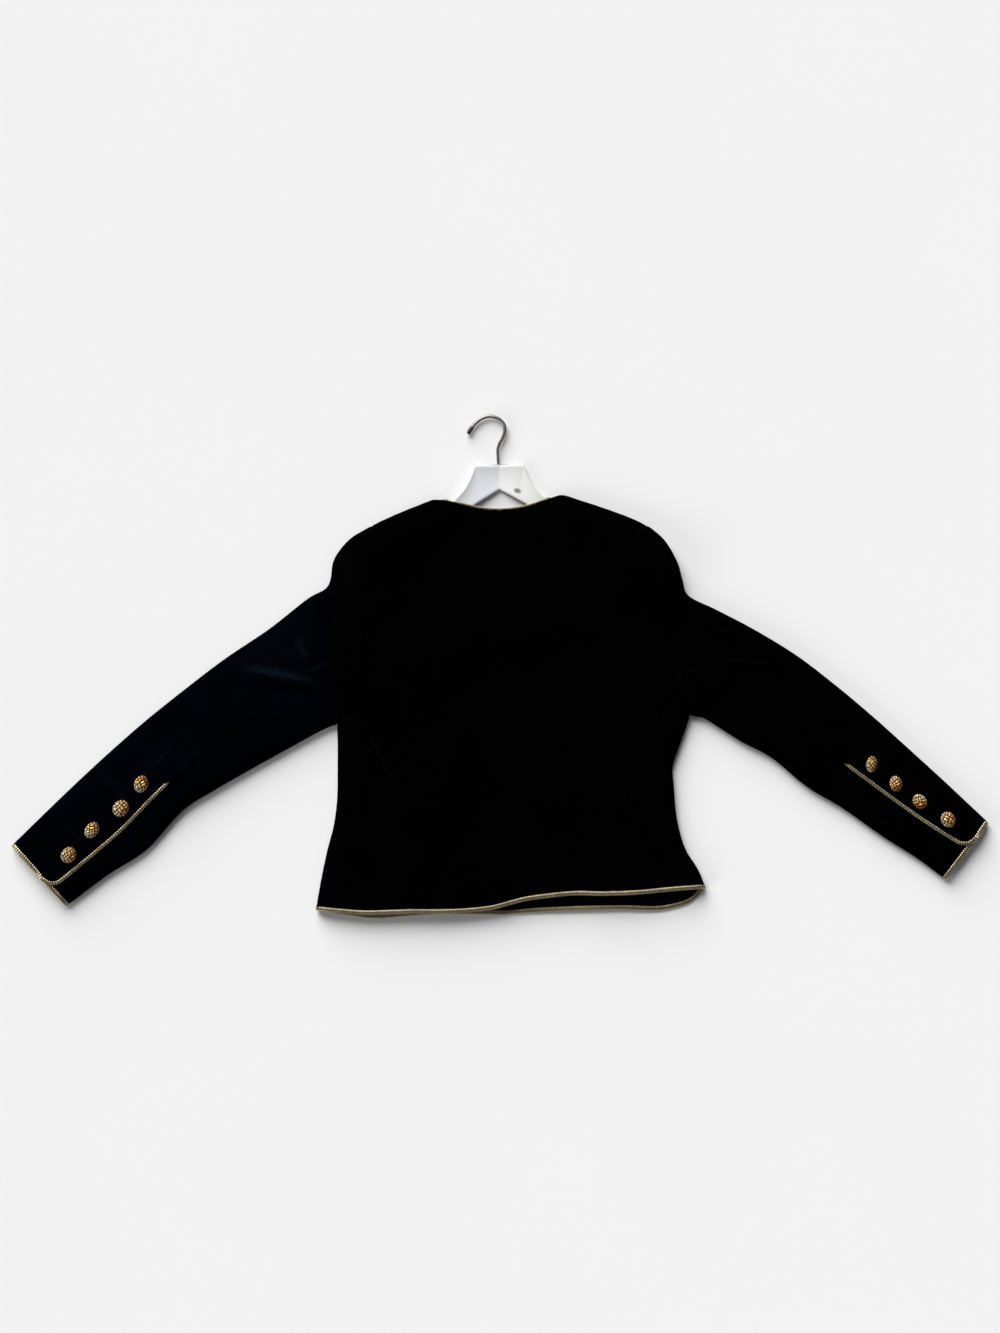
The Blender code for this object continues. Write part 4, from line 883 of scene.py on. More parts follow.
def sleeve_rows(side, drawn_in):
    """Section numbers of a sleeve's rows at even steps of its length, how far each lies past the vent's
    top, and how far its edge turns in round the vent's corner, as r (1 - sqrt(1 - t^2))."""
    sections = np.linspace(0, CUFF, CURVE_POINTS)
    upper, lower, _ = sleeve_section(side, sections)
    steps = np.linalg.norm(np.diff((upper + lower) / 2, axis=0), axis=1)
    reach = np.concatenate([[0.0], np.cumsum(steps)])
    end = reach[-1] - drawn_in
    vent = np.interp(VENT_TOP[side], sections, reach)
    radius = VENT_CORNER - drawn_in + EDGE_UNDER_BRAID
    places = HALF_GAP + (end - HALF_GAP) * graded(end)
    extra = vent + np.array(VENT_ROWS) * VENT_TURN
    corner = end - radius * (1 - np.sin(np.linspace(0, 1, VENT_CORNER_ROWS) * math.pi / 2))
    places = np.unique(np.round(np.concatenate([places[places < end - radius], extra, corner]), 2))
    rows = np.interp(places, reach, sections)
    into = np.clip(1 - (end - places) / radius, 0, 1)
    return rows, places - vent, radius * (1 - np.sqrt(1 - into**2))


def laid_sleeve(side, rows, past_vent, faces, vent_edge, lift=0.0):
    """A sleeve's piece from its two faces, each with its shares across, which meet on the fold. Its edge at
    the vent is sewn only above the opening."""
    plan = np.concatenate([sleeve_plan(side, face, rows, shares) for face, shares in faces], axis=1)
    column, fold = np.arange(plan.shape[1]), faces[0][1].shape[1] - 1
    folded = np.broadcast_to(column == fold, plan.shape[:2])
    is_upper = np.broadcast_to((column <= fold) == (faces[0][0] == "upper"), plan.shape[:2])
    points, pressed = laid(plan, side, folded, is_upper, lift=lift)
    sewn = {"bottom": 1.0, "left": 1.0, "right": 1.0, vent_edge: eased(-past_vent / VENT_RUN)[:, None]}
    return made_cloth(points, pressed, is_upper, sewn, ease=True)


def top_sleeve(side, drawn_in=EDGE_UNDER_BRAID):
    """From the back seam and vent, over the upper fold, to the front seam beneath. Also its vent's first
    row."""
    rows, past_vent, corner = sleeve_rows(side, drawn_in)
    upper, lower, seam = sleeve_section(side, rows)
    width = np.linalg.norm(upper - lower, axis=1)
    turn_in = (drawn_in - HALF_GAP) * eased(past_vent / VENT_TURN + 1)
    edge = (seam + (HALF_GAP + turn_in + corner) / width)[:, None]
    upper_grid, lower_grid = map(graded, TOP_SLEEVE_GRID)
    over = edge + (1 - edge) * upper_grid
    under = 1 - (1 - FRONT_SEAM_SHARE - HALF_GAP / width)[:, None] * lower_grid[1:]
    from_seam = (over - seam[:, None]) * width[:, None]
    growth = eased(past_vent / VENT_RUN + 2)[:, None] * eased(1 - (from_seam - VENT_LEVEL) / VENT_SLOPE)
    lift = np.hstack([VENT_LIFT * growth, np.zeros(under.shape)])
    cloth = laid_sleeve(side, rows, past_vent, [("upper", over), ("lower", under)], "left", lift)
    return cloth, int(np.searchsorted(past_vent, 0.0))


def under_sleeve(side, drawn_in=EDGE_UNDER_BRAID):
    """From the front seam beneath, over the lower fold, to the back seam, with the lap inside the vent."""
    rows, past_vent, _ = sleeve_rows(side, drawn_in)
    upper, lower, seam = sleeve_section(side, rows)
    width = np.linalg.norm(upper - lower, axis=1)
    lap = VENT_LAP * np.clip(past_vent / VENT_RUN + 1, 0, 1)
    lower_grid, upper_grid = map(graded, UNDER_SLEEVE_GRID)
    under = (FRONT_SEAM_SHARE - HALF_GAP / width)[:, None] * (1 - lower_grid)
    over = (seam + (lap - HALF_GAP) / width)[:, None] * upper_grid[1:]
    return laid_sleeve(side, rows, past_vent, [("lower", under), ("upper", over)], "right")


# ---- meshes ----------------------------------------------------------------------------------------

def grid_faces(rows, columns, wrapped=False):
    """The quads of a grid of points, row by row. wrapped joins the last column to the first."""
    row, column = np.meshgrid(np.arange(rows - 1), np.arange(columns - (not wrapped)), indexing="ij")
    ahead = (column + 1) % columns
    here, above = row * columns, (row + 1) * columns
    quads = [here + column, here + ahead, above + ahead, above + column]
    return np.stack([q.reshape(-1) for q in quads], 1)


def make_object(name, points, faces, materials, uv=None, values=None, finish=None):
    """A mesh object at the origin from points in millimetres, faces as lists of point numbers, a UV place
    and named values for each point, and each face's material number."""
    mesh = bpy.data.meshes.new(name)
    mesh.from_pydata((points * MM).tolist(), [], faces if isinstance(faces, list) else faces.tolist())
    for material in materials:
        mesh.materials.append(material)
    if finish is not None:
        mesh.polygons.foreach_set("material_index", np.asarray(finish, np.int32))
    if uv is not None:
        corner = np.zeros(len(mesh.loops), np.int32)
        mesh.loops.foreach_get("vertex_index", corner)
        layer = mesh.uv_layers.new(name="flat")
        layer.data.foreach_set("uv", (uv[corner] * MM).astype(np.float32).reshape(-1))
    for label, value in (values or {}).items():
        attribute = mesh.attributes.new(label, "FLOAT", "POINT")
        attribute.data.foreach_set("value", value.astype(np.float32).reshape(-1))
    mesh.shade_smooth()
    mesh.set_sharp_from_angle(angle=math.radians(SMOOTH_ANGLE))
    piece = bpy.data.objects.new(name, mesh)
    bpy.context.scene.collection.objects.link(piece)
    return piece


def cloth_object(name, cloth, materials):
    """A closed sheet: the outer grid, the inner grid turned round, and a rim that joins their edges."""
    rows, columns = cloth.outer.shape[:2]
    count = rows * columns
    quads = grid_faces(rows, columns)
    number = np.arange(count).reshape(rows, columns)
    edge = np.concatenate([number[0, :-1], number[:-1, -1], number[-1, :0:-1], number[:0:-1, 0]])
    ahead = np.roll(edge, -1)
    rim = np.stack([ahead, edge, edge + count, ahead + count], 1)
    faces = np.vstack([quads, quads[:, ::-1] + count, rim])
    if cloth.turned:
        faces = faces[:, ::-1]
    finish = np.repeat([0, 1], [len(quads), len(quads) + len(rim)])
    points = np.concatenate([cloth.outer.reshape(-1, 3), cloth.inner.reshape(-1, 3)])
    uv = np.tile(cloth.uv.reshape(-1, 2), (2, 1))
    pressed = np.tile(cloth.pressed.reshape(-1), 2)
    return make_object(name, points, faces, materials, uv, {"pressed": pressed}, finish)


def skin_faces(rows, columns):
    """Faces of a tube of rings, with a pole at each end: the last two points, start first."""
    quads = grid_faces(rows, columns, wrapped=True).tolist()
    ring = np.arange(columns)
    ahead = (ring + 1) % columns
    last = (rows - 1) * columns
    start = np.stack([ahead, ring, np.full(columns, rows * columns)], 1).tolist()
    end = np.stack([last + ring, last + ahead, np.full(columns, rows * columns + 1)], 1).tolist()
    return quads + start + end


def tube_object(name, rings, poles, material, uv, values=None):
    """A closed skin over rings of points, closed at both ends by poles."""
    rows, columns = rings.shape[:2]
    points = np.vstack([rings.reshape(-1, 3), poles])
    uv = np.vstack([uv.reshape(-1, 2), uv[0].mean(0), uv[-1].mean(0)])
    kept = {
        label: np.concatenate([value.reshape(-1), [value[0].mean(), value[-1].mean()]])
        for label, value in (values or {}).items()
    }
    return make_object(name, points, skin_faces(rows, columns), [material], uv, kept)


# ---- braid -----------------------------------------------------------------------------------------

def edge_line(outer, inner):
    """Middle of the cloth along an edge, and the way its outer face looks."""
    return (outer + inner) / 2, (outer - inner) / np.linalg.norm(outer - inner, axis=-1)[..., None]


def joined(lines):
    """Edge lines end to end."""
    return tuple(np.vstack(parts) for parts in zip(*lines))


def plait(name, line, material, kind, cuff_from=None):
    """A plait folded over an edge. Each ring is |x/a|^n + |y/b|^n = 1, with n its squareness, raised by
    relief times (1 + cos phase) / 2, where phase is 2 pi (s / pitch - slant |x/a|), less a groove down its
    middle. Over its last millimetres it shrinks as a quarter circle to a pole. From cuff_from on it is as
    wide as a cuff's."""
    route, facing = line
    width, thick = BRAID_WIDTH[kind], BRAID_WIDTH[kind] * BRAID_FLATNESS

    def growth(s):
        if cuff_from is None:
            return np.ones_like(s)
        return 1 + (BRAID_WIDTH["cuff"] / width - 1) * eased((s - cuff_from) / CUFF_GROWTH)

    keep = np.concatenate([[True], np.linalg.norm(np.diff(route, axis=0), axis=1) > BRAID_LEAST_STEP])
    route, facing = route[keep], facing[keep]
    knots = np.concatenate([[0.0], np.cumsum(np.linalg.norm(np.diff(route, axis=0), axis=1))])
    coarse = np.linspace(0, knots[-1], int(knots[-1] / BRAID_LAY_STEP) + 2)
    read = np.stack([np.interp(coarse, knots, column) for column in np.hstack([route, facing]).T], 1)
    for _ in range(2):
        read[1:-1] = (read[:-2] + 2 * read[1:-1] + read[2:]) / 4
    read[:, 2] = np.maximum(read[:, 2], thick / 2 * growth(coarse) + BRAID_RELIEF / 2 + BRAID_FLOOR)
    s = np.linspace(0, knots[-1], int(knots[-1] / BRAID_STEP) + 2)
    fine = through(coarse, read, s)
    centre, up = fine[:, :3], fine[:, 3:]
    tangent = np.gradient(centre, axis=0)
    tangent /= np.linalg.norm(tangent, axis=1)[:, None]
    across = np.cross(up, tangent)
    across /= np.linalg.norm(across, axis=1)[:, None]
    up = np.cross(tangent, across)

    angle = np.linspace(0, 2 * math.pi, BRAID_SIDES, endpoint=False)[None, :]
    cosine, sine = np.cos(angle), np.sin(angle)
    x = np.sign(cosine) * np.abs(cosine) ** (2 / BRAID_SQUARENESS)
    y = np.sign(sine) * np.abs(sine) ** (2 / BRAID_SQUARENESS)
    phase = 2 * math.pi * (s[:, None] / BRAID_PITCH - BRAID_SLANT * np.abs(x))
    strand = (0.5 + 0.5 * np.cos(phase)) ** BRAID_FULLNESS * (1 - BRAID_GROOVE * bell(x, BRAID_GROOVE_WIDTH))
    first_end, last_end = BRAID_ENDS[kind]
    end = (quarter_round(s / first_end) * quarter_round((s[-1] - s) / last_end))[:, None]
    grown = growth(s)[:, None]
    wide = (width / 2 * grown * x + BRAID_RELIEF * (strand - 0.5) * cosine) * end
    high = (thick / 2 * grown * y + BRAID_RELIEF * (strand - 0.5) * sine) * end
    rings = centre[:, None] + wide[..., None] * across[:, None] + high[..., None] * up[:, None]
    uv = np.dstack(np.broadcast_arrays(angle * width / BRAID_ROUND, s[:, None]))
    relief = strand * end
    return tube_object(name, rings[1:-1], centre[[0, -1]], material, uv[1:-1], {"relief": relief[1:-1]})


def turned_round(line):
    """An edge line run the other way."""
    return tuple(part[::-1] for part in line)


def edge_lines(pieces, row, first_share=0.0):
    """The edge lines along one row of several panels, by name and side, from a share of their columns."""
    lines = {}
    for make in pieces:
        for side in ("left", "right"):
            cloth = make(side, BRAID_IN)
            first = int(first_share * cloth.outer.shape[1])
            lines[make.__name__, side] = edge_line(cloth.outer[row, first:], cloth.inner[row, first:])
    return lines


def hem_line():
    """From the centre front round the left side fold, along the back hem, and round to the centre."""
    edge = edge_lines((front, side_back, back), 0)
    return joined([
        turned_round(edge["front", "left"]), edge["side_back", "left"], edge["back", "left"],
        turned_round(edge["back", "right"]), turned_round(edge["side_back", "right"]),
        edge["front", "right"],
    ])


def neck_line():
    """From the centre front up to one neck point, along the back neck, and down to the centre front."""
    edge = edge_lines((front, back), -1, NECK_FIRST)
    mirror = np.array([[1, 1], [-1, 1]])
    points = np.array([BACK_NECK[0], BACK_NECK[-1]]) + mirror * NECK_POINT_INSET
    height = MIDDLE_SHARE * level_height(points)
    ends = np.hstack([points, height[:, None]])
    facing = np.array([[-1, 1, 1], [1, 1, 1]]) * NECK_POINT_FACING
    return joined([
        turned_round(edge["front", "left"]), (ends[:1], facing[:1]), edge["back", "left"],
        turned_round(edge["back", "right"]), (ends[1:], facing[1:]), edge["front", "right"],
    ])


def vent_line(side):
    """Down the vent, round its corner, along the top sleeve's cuff and over the fold to the front seam. Also
    the vent's length."""
    cloth, first = top_sleeve(side, BRAID_IN)
    down = edge_line(cloth.outer[first:, 0], cloth.inner[first:, 0])
    cuff = edge_line(cloth.outer[-1, 1:], cloth.inner[-1, 1:])
    return joined([down, cuff]), np.linalg.norm(np.diff(down[0], axis=0), axis=1).sum()


def cuff_line(side):
    """Along the under sleeve's cuff: from the front seam beneath, over the lower fold, to the vent."""
    cloth = under_sleeve(side, BRAID_IN)
    middle, facing = edge_line(cloth.outer[-1], cloth.inner[-1])
    upper, lower, seam = sleeve_section(side, [CUFF])
    width = np.linalg.norm(upper - lower)
    reach = (middle[:, :2] - lower[0]) @ ((upper - lower)[0] / width)
    is_over = np.arange(len(middle)) > len(middle) // 2
    kept = ~(is_over & (reach > seam[0] * width + VENT_LAP - LAP_CLEAR))
    return middle[kept], facing[kept]


# ---- buttons, hanger and hook ----------------------------------------------------------------------

def basket(x, y):
    """A basket weave, from 0 in its grooves to 1 on its ribs. Square cells hold parallel ribs that run
    across in one and up in the next. A rib is |sin| across, to a power, and bulges as sin along its run, to
    another, from a low end."""
    column, row = np.floor(x / BASKET_CELL), np.floor(y / BASKET_CELL)
    upright = (column + row) % 2 > 0
    across = np.where(upright, y / BASKET_CELL - row, x / BASKET_CELL - column)
    run = np.where(upright, x / BASKET_CELL - column, y / BASKET_CELL - row)
    rib = np.abs(np.sin(math.pi * BASKET_RIBS * across)) ** RIB_SHARPNESS
    bulge = np.sin(math.pi * np.clip(run, 0, 1)) ** RIB_BULGE
    return rib * (RIB_END + (1 - RIB_END) * bulge)


def turns(place):
    """The turn of a button about its own middle, then its two small leans, as one matrix."""
    run, lx, ly = (math.radians(angle) for angle in (place.long_axis, place.lean_x, place.lean_y))
    about_z = np.array([[math.cos(run), -math.sin(run), 0], [math.sin(run), math.cos(run), 0], [0, 0, 1]])
    about_y = np.array([[math.cos(lx), 0, math.sin(lx)], [0, 1, 0], [-math.sin(lx), 0, math.cos(lx)]])
    about_x = np.array([[1, 0, 0], [0, math.cos(ly), -math.sin(ly)], [0, math.sin(ly), math.cos(ly)]])
    return about_x @ about_y @ about_z


def button(name, place, radius, turn, node, material):
    """A domed button covered in plaited cord, over its shank, a little oval. Along its profile the dome
    rises as 1 - t^fall, with the basket weave on it, and a ring of knots as its rim."""
    t = np.linspace(DOME_START, 1, BUTTON_RINGS)
    dome_r = radius * np.sin(t * math.pi / 2) ** DOME_SPREAD
    dome_z = BUTTON_RISE * (1 - t**DOME_FALL)
    under_r, under_z = np.array(BUTTON_UNDER).T
    r = np.concatenate([dome_r, under_r * radius])[:, None]
    z = np.concatenate([dome_z, under_z * BUTTON_RIM])[:, None]
    angle = np.linspace(0, 2 * math.pi, BUTTON_SPOKES, endpoint=False)[None]
    px, py = r * np.cos(angle), r * np.sin(angle)
    on_top = np.concatenate([np.ones(len(t)), np.zeros(len(under_r))])[:, None]
    rim = bell(r - RIM_PLACE * radius, RIM_WIDTH)
    knots = np.abs(np.cos(RIM_KNOTS / 2 * angle + RIM_WAVER * np.sin(RIM_WAVES * angle))) ** RIM_FULLNESS
    c, s = math.cos(turn), math.sin(turn)
    start_x, start_y = (start * BASKET_CELL for start in BASKET_START)
    weave = basket(px * c + py * s + start_x, py * c - px * s + start_y)
    groove = 1 - RIM_GROOVE * bell(r - RIM_GROOVE_PLACE * radius, RIM_GROOVE_WIDTH)
    strands = on_top * (weave * (1 - rim) + rim * knots) * groove
    relief = BASKET_RELIEF * strands
    # painted light: a painted highlight on one side of each button, painted shade on the other, and an even
    # lift or darkening for each
    towards_lit_side = angle + math.radians(place.long_axis) - math.radians(place.bright)
    shine = place.shine + PAINTED_LIGHT_SPREAD * np.cos(towards_lit_side) * r / radius
    slope = on_top * (r / radius) ** 3
    px, py = px + relief * slope * np.cos(angle), py + relief * slope * np.sin(angle)
    z = z + relief * (1 - OUTWARD * slope) - on_top * DOME_SINK
    rings = np.dstack([px, py * place.share, z]) @ turns(place).T
    poles = np.array([rings[-1].mean(0), rings[0].mean(0) + [0, 0, POLE_RISE]])
    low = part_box(node)[0].z / MM - rings[..., 2].min()
    rings, poles = rings[::-1] + [place.x, place.y, low], poles + [place.x, place.y, low]
    uv = np.dstack([px, py])[::-1]
    return tube_object(name, rings, poles, material, uv, {"relief": strands[::-1], "shine": shine[::-1]})


def buttonhole(name, place, away, sleeve, material):
    """The worked end of a blind buttonhole beneath each button: a stitched bar laid on the sleeve, straight
    across from its vent. Its stitches are |sin|^0.5 of the way along it."""
    x, y = place.x, place.y
    s = np.linspace(*BAR_ENDS, BAR_RINGS)
    route = np.array([x, y]) + s[:, None] * away
    flat = sleeve.outer.reshape(-1, 3)
    near = flat[(np.abs(flat[:, :2] - [x, y]) < BAR_REACH).all(1)]
    weight = np.exp(-((route[:, None] - near[None, :, :2]) ** 2).sum(2) / (2 * BAR_BLUR**2))
    height = (weight * near[:, 2]).sum(1) / weight.sum(1)
    angle = np.linspace(0, 2 * math.pi, BAR_SIDES, endpoint=False)[None]
    end = quarter_round(np.minimum(s - s[0], s[-1] - s) / BAR_ROUND)[:, None]
    stitch = np.abs(np.sin(math.pi * s / STITCH_PITCH))[:, None] ** 0.5
    wide = (BAR_HALF_WIDTH + STITCH_WIDTH * stitch) * np.cos(angle) * end
    high = (BAR_HALF_HEIGHT + STITCH_HEIGHT * stitch) * np.sin(angle) * end
    side = np.array([-away[1], away[0]])
    plan = route[:, None] + wide[..., None] * side
    rings = np.dstack([plan, height[:, None] + BAR_LIFT + high])
    poles = np.column_stack([route, height + BAR_LIFT])[[0, -1]]
    uv = np.dstack(np.broadcast_arrays(wide, s[:, None]))
    return tube_object(name, rings[1:-1], poles, material, uv[1:-1])


def hanger(name, material):
    """A moulded hanger. s runs from the left arm's tip to the right one's and t from its lower edge to its
    upper one. Each face is sunk by a recess inside its rim and rounded at its edges. The top one sinks
    towards the middle too, by valley (1 - |x| / reach)."""
    arm = np.sin(np.linspace(0, math.pi / 2, HANGER_ARM_ROWS))
    crown_shares = np.linspace(0, HANGER_CROWN, HANGER_CROWN_ROWS)[:-1]
    shares = np.concatenate([crown_shares, HANGER_CROWN + (1 - HANGER_CROWN) * arm])
    up = along(HANGER_TOP_EDGE, shares)
    low = along(HANGER_LOW_EDGE, shares)
    up, low = (np.vstack([half[:0:-1] * [-1, 1], half]) for half in (up, low))
    up, low = up[1:-1], low[1:-1]
    length = np.linalg.norm(up - low, axis=1)[:, None]
    edge = np.linspace(0, math.pi / 2, HANGER_EDGE_STEPS)
    into = HANGER_EDGE * (1 - np.cos(edge))
    drop = HANGER_EDGE * (1 - np.sin(edge))
    flat = HANGER_RIM - HANGER_EDGE
    rim = HANGER_EDGE + np.array([HANGER_RIM_START, flat, flat + HANGER_RECESS_RUN])
    into = np.concatenate([into, rim])[None]
    drop = np.concatenate([drop, [0.0, 0.0, HANGER_RECESS]])[None]
    room = np.clip(length / 2 - HANGER_LEAST, 0, None)
    from_low = np.minimum(into, room)
    drop = np.where(into > room, np.maximum(drop, HANGER_EDGE * (1 - room / HANGER_EDGE).clip(0, 1)), drop)
    deep = HANGER_THICK / 2 - drop
    way = (up - low) / length
    sharper = np.where(np.arange(into.size) < len(edge), HANGER_LOW_EDGE_SHARE, 1.0)
    lower = low[:, None] + (sharper * from_low)[..., None] * way[:, None]
    upper = up[:, None] - from_low[..., None] * way[:, None]
    face = np.concatenate([lower, upper[:, ::-1]], axis=1)
    height = np.concatenate([deep, deep[:, ::-1]], axis=1)
    ring = np.concatenate([face, face[:, ::-1]], axis=1)
    sunk = HANGER_VALLEY * np.clip(1 - np.abs(face[..., 0]) / HANGER_VALLEY_REACH, 0, 1)
    z = np.concatenate([HANGER_MIDDLE + height - sunk, HANGER_MIDDLE - height[:, ::-1]], axis=1)
    crown = np.array(HANGER_TOP_EDGE[0])
    c, s = math.cos(math.radians(HANGER_TURN)), math.sin(math.radians(HANGER_TURN))

    def turned(plan):
        x, y = plan[..., 0] - crown[0], plan[..., 1] - crown[1]
        return np.stack([crown[0] + c * x - s * y, crown[1] + s * x + c * y], -1)

    rings = np.dstack([turned(ring), z])
    tips = turned(np.array([HANGER_TOP_EDGE[-1]]) * [[-1, 1], [1, 1]])
    poles = np.hstack([tips, np.full((2, 1), HANGER_MIDDLE)])
    return tube_object(name, rings[:, ::-1], poles, material, ring[:, ::-1])


def hook(name, material):
    """Round wire along the hook's route, thicker from its stem to its loop, with a cap on its end."""
    route = along(HOOK_ROUTE, np.linspace(0, 1, HOOK_RINGS))
    s = np.concatenate([[0.0], np.cumsum(np.linalg.norm(np.diff(route, axis=0), axis=1))])
    run = np.gradient(route, axis=0)
    run /= np.linalg.norm(run, axis=1)[:, None]
    side = np.stack([-run[:, 1], run[:, 0]], 1)
    radius = HOOK_STEM_RADIUS + (HOOK_RADIUS - HOOK_STEM_RADIUS) * eased(s / HOOK_STEM)
    radius = radius + (HOOK_TIP_RADIUS - HOOK_RADIUS) * eased((s - s[-1] + HOOK_TIP) / HOOK_TIP_STEP)
    radius = radius * quarter_round((s[-1] - s) / HOOK_TIP_RADIUS)
    radius = radius * quarter_round(s / HOOK_FOOT + HOOK_FOOT_OPEN)
    angle = np.linspace(0, 2 * math.pi, HOOK_SIDES, endpoint=False)[None]
    plan = route[:, None] + (radius[:, None] * np.cos(angle))[..., None] * side[:, None]
    rings = np.dstack([plan, HANGER_MIDDLE + radius[:, None] * np.sin(angle)])
    poles = np.column_stack([route, np.full(len(route), HANGER_MIDDLE)])[[0, -1]]
    uv = np.dstack(np.broadcast_arrays(angle, s[:, None]))
    tip = np.broadcast_to(eased(s - s[-1] + HOOK_TIP)[:, None], radius.shape + angle.shape[1:])
    return tube_object(name, rings[1:-1], poles, material, uv[1:-1], {"tip": tip[1:-1]})


# ---- materials -------------------------------------------------------------------------------------

def new_material(name, **values):
    """A material with its surface shader, set by the names of the shader's sockets."""
    material = bpy.data.materials.new(name)
    material.use_nodes = True
    shader = material.node_tree.nodes["Principled BSDF"]
    for label, value in values.items():
        shader.inputs[label.replace("_", " ")].default_value = value
    return material, material.node_tree, shader


def add(tree, kind, **values):
    """A node. Values named by a socket set it, and the rest set the node itself."""
    node = tree.nodes.new("ShaderNode" + kind)
    for key, value in values.items():
        socket = key.replace("_", " ")
        if socket in node.inputs:
            node.inputs[socket].default_value = value
        else:
            setattr(node, key, value)
    return node


def maths(tree, operation, first, second):
    """A number from two others."""
    node = add(tree, "Math", operation=operation)
    join(tree, first, node.inputs[0])
    join(tree, second, node.inputs[1])
    return node.outputs[0]


def join(tree, value, socket):
    """Gives a socket a value, which is a number, a colour or another node's output."""
    if isinstance(value, bpy.types.NodeSocket):
        tree.links.new(value, socket)
    else:
        socket.default_value = (*value, 1.0) if isinstance(value, tuple) else value


def ramp(tree, value, low, high, low_to=0.0, high_to=1.0):
    """A value carried smoothly from one range to another."""
    node = add(tree, "MapRange", interpolation_type="SMOOTHSTEP")
    for socket, given in zip(node.inputs, (value, low, high, low_to, high_to)):
        join(tree, given, socket)
    return node.outputs[0]


def noise(tree, place, scale, detail=2.0, rough=0.5, stretch=None):
    """Noise read at a place, which may be stretched first."""
    if stretch:
        mapping = add(tree, "Mapping", Scale=stretch)
        tree.links.new(place, mapping.inputs["Vector"])
        place = mapping.outputs[0]
    node = add(tree, "TexNoise", Detail=detail, Roughness=rough)
    tree.links.new(place, node.inputs["Vector"])
    join(tree, scale, node.inputs["Scale"])
    return node.outputs[0]


def blend(tree, mask, first, second):
    """The first colour where the mask is 0, the second where it is 1."""
    node = add(tree, "Mix", data_type="RGBA")
    for socket, given in zip((node.inputs[0], node.inputs[6], node.inputs[7]), (mask, first, second)):
        join(tree, given, socket)
    return node.outputs[2]


def bump(tree, height, distance, strength):
    """A normal from a height in metres' share of a distance."""
    node = add(tree, "Bump", Distance=distance)
    tree.links.new(height, node.inputs["Height"])
    join(tree, strength, node.inputs["Strength"])
    return node.outputs[0]


def split_x(tree, place):
    """How far right a place is."""
    node = add(tree, "SeparateXYZ")
    tree.links.new(place, node.inputs[0])
    return node.outputs["X"]


def split_red(tree, colour):
    """The red of a colour."""
    node = add(tree, "SeparateColor")
    tree.links.new(colour, node.inputs[0])
    return node.outputs["Red"]


def read_value(tree, label):
    """A value that a piece's mesh carries at each point."""
    return add(tree, "Attribute", attribute_name=label).outputs["Fac"]


def velvet():
    """Black velvet: deep, matt pile with a nap, lighter where a crease has pressed it, with a painted
    highlight on the creases' crests, bluer and lighter at the left sleeve with painted sheen, with a few
    specks of lint."""
    material, tree, shader = new_material(
        "black_velvet", Roughness=0.9, Specular_IOR_Level=0.006, Sheen_Weight=0.004,
        Sheen_Roughness=0.35, Sheen_Tint=(0.55, 0.72, 1.0, 1.0),
    )
    place = add(tree, "TexCoord").outputs["Object"]
    # painted sheen: the left sleeve's pile is painted bluer and lighter
    sleeve = ramp(tree, split_x(tree, place), *SHEEN_SLEEVE_SPAN)
    brushed = ramp(tree, noise(tree, place, scale=9.0, detail=3.0, rough=0.55), low=0.38, high=0.66)
    nap = noise(tree, place, scale=420.0, detail=4.0, rough=0.62, stretch=(1.0, 0.45, 1.0))
    patches = ramp(tree, nap, low=0.25, high=0.7, low_to=0.45, high_to=1.0)
    # pressed pile and a painted highlight along the crests of creases
    pressed = maths(tree, "MULTIPLY", read_value(tree, "pressed"), patches)
    pile = blend(tree, sleeve, blend(tree, brushed, *PILE), blend(tree, brushed, *SHEEN_SLEEVE_PILE))
    pile = blend(tree, pressed, pile, blend(tree, sleeve, *PRESSED_PILE_AND_HIGHLIGHT))
    cells = add(tree, "TexVoronoi", Scale=34.0)
    tree.links.new(place, cells.inputs["Vector"])
    speck = ramp(tree, cells.outputs["Distance"], low=0.016, high=0.007)
    rare = ramp(tree, split_red(tree, cells.outputs["Color"]), low=0.88, high=0.90)
    lint = maths(tree, "MULTIPLY", speck, rare)
    tree.links.new(blend(tree, lint, pile, LINT), shader.inputs["Base Color"])
    tree.links.new(bump(tree, nap, distance=0.0005, strength=0.6), shader.inputs["Normal"])
    return material


def backing():
    """The cloth's inside and its turned edges: plain black weave."""
    material, tree, shader = new_material(
        "black_backing", Base_Color=(0.0012, 0.0012, 0.0014, 1.0), Roughness=0.8, Specular_IOR_Level=0.05
    )
    place = add(tree, "TexCoord").outputs["UV"]
    across = add(tree, "TexWave", Scale=260.0, bands_direction="X")
    upward = add(tree, "TexWave", Scale=260.0, bands_direction="Y")
    for node in (across, upward):
        tree.links.new(place, node.inputs["Vector"])
    weave = maths(tree, "MULTIPLY", across.outputs["Fac"], upward.outputs["Fac"])
    tree.links.new(bump(tree, weave, distance=0.0002, strength=0.5), shader.inputs["Normal"])
    return material


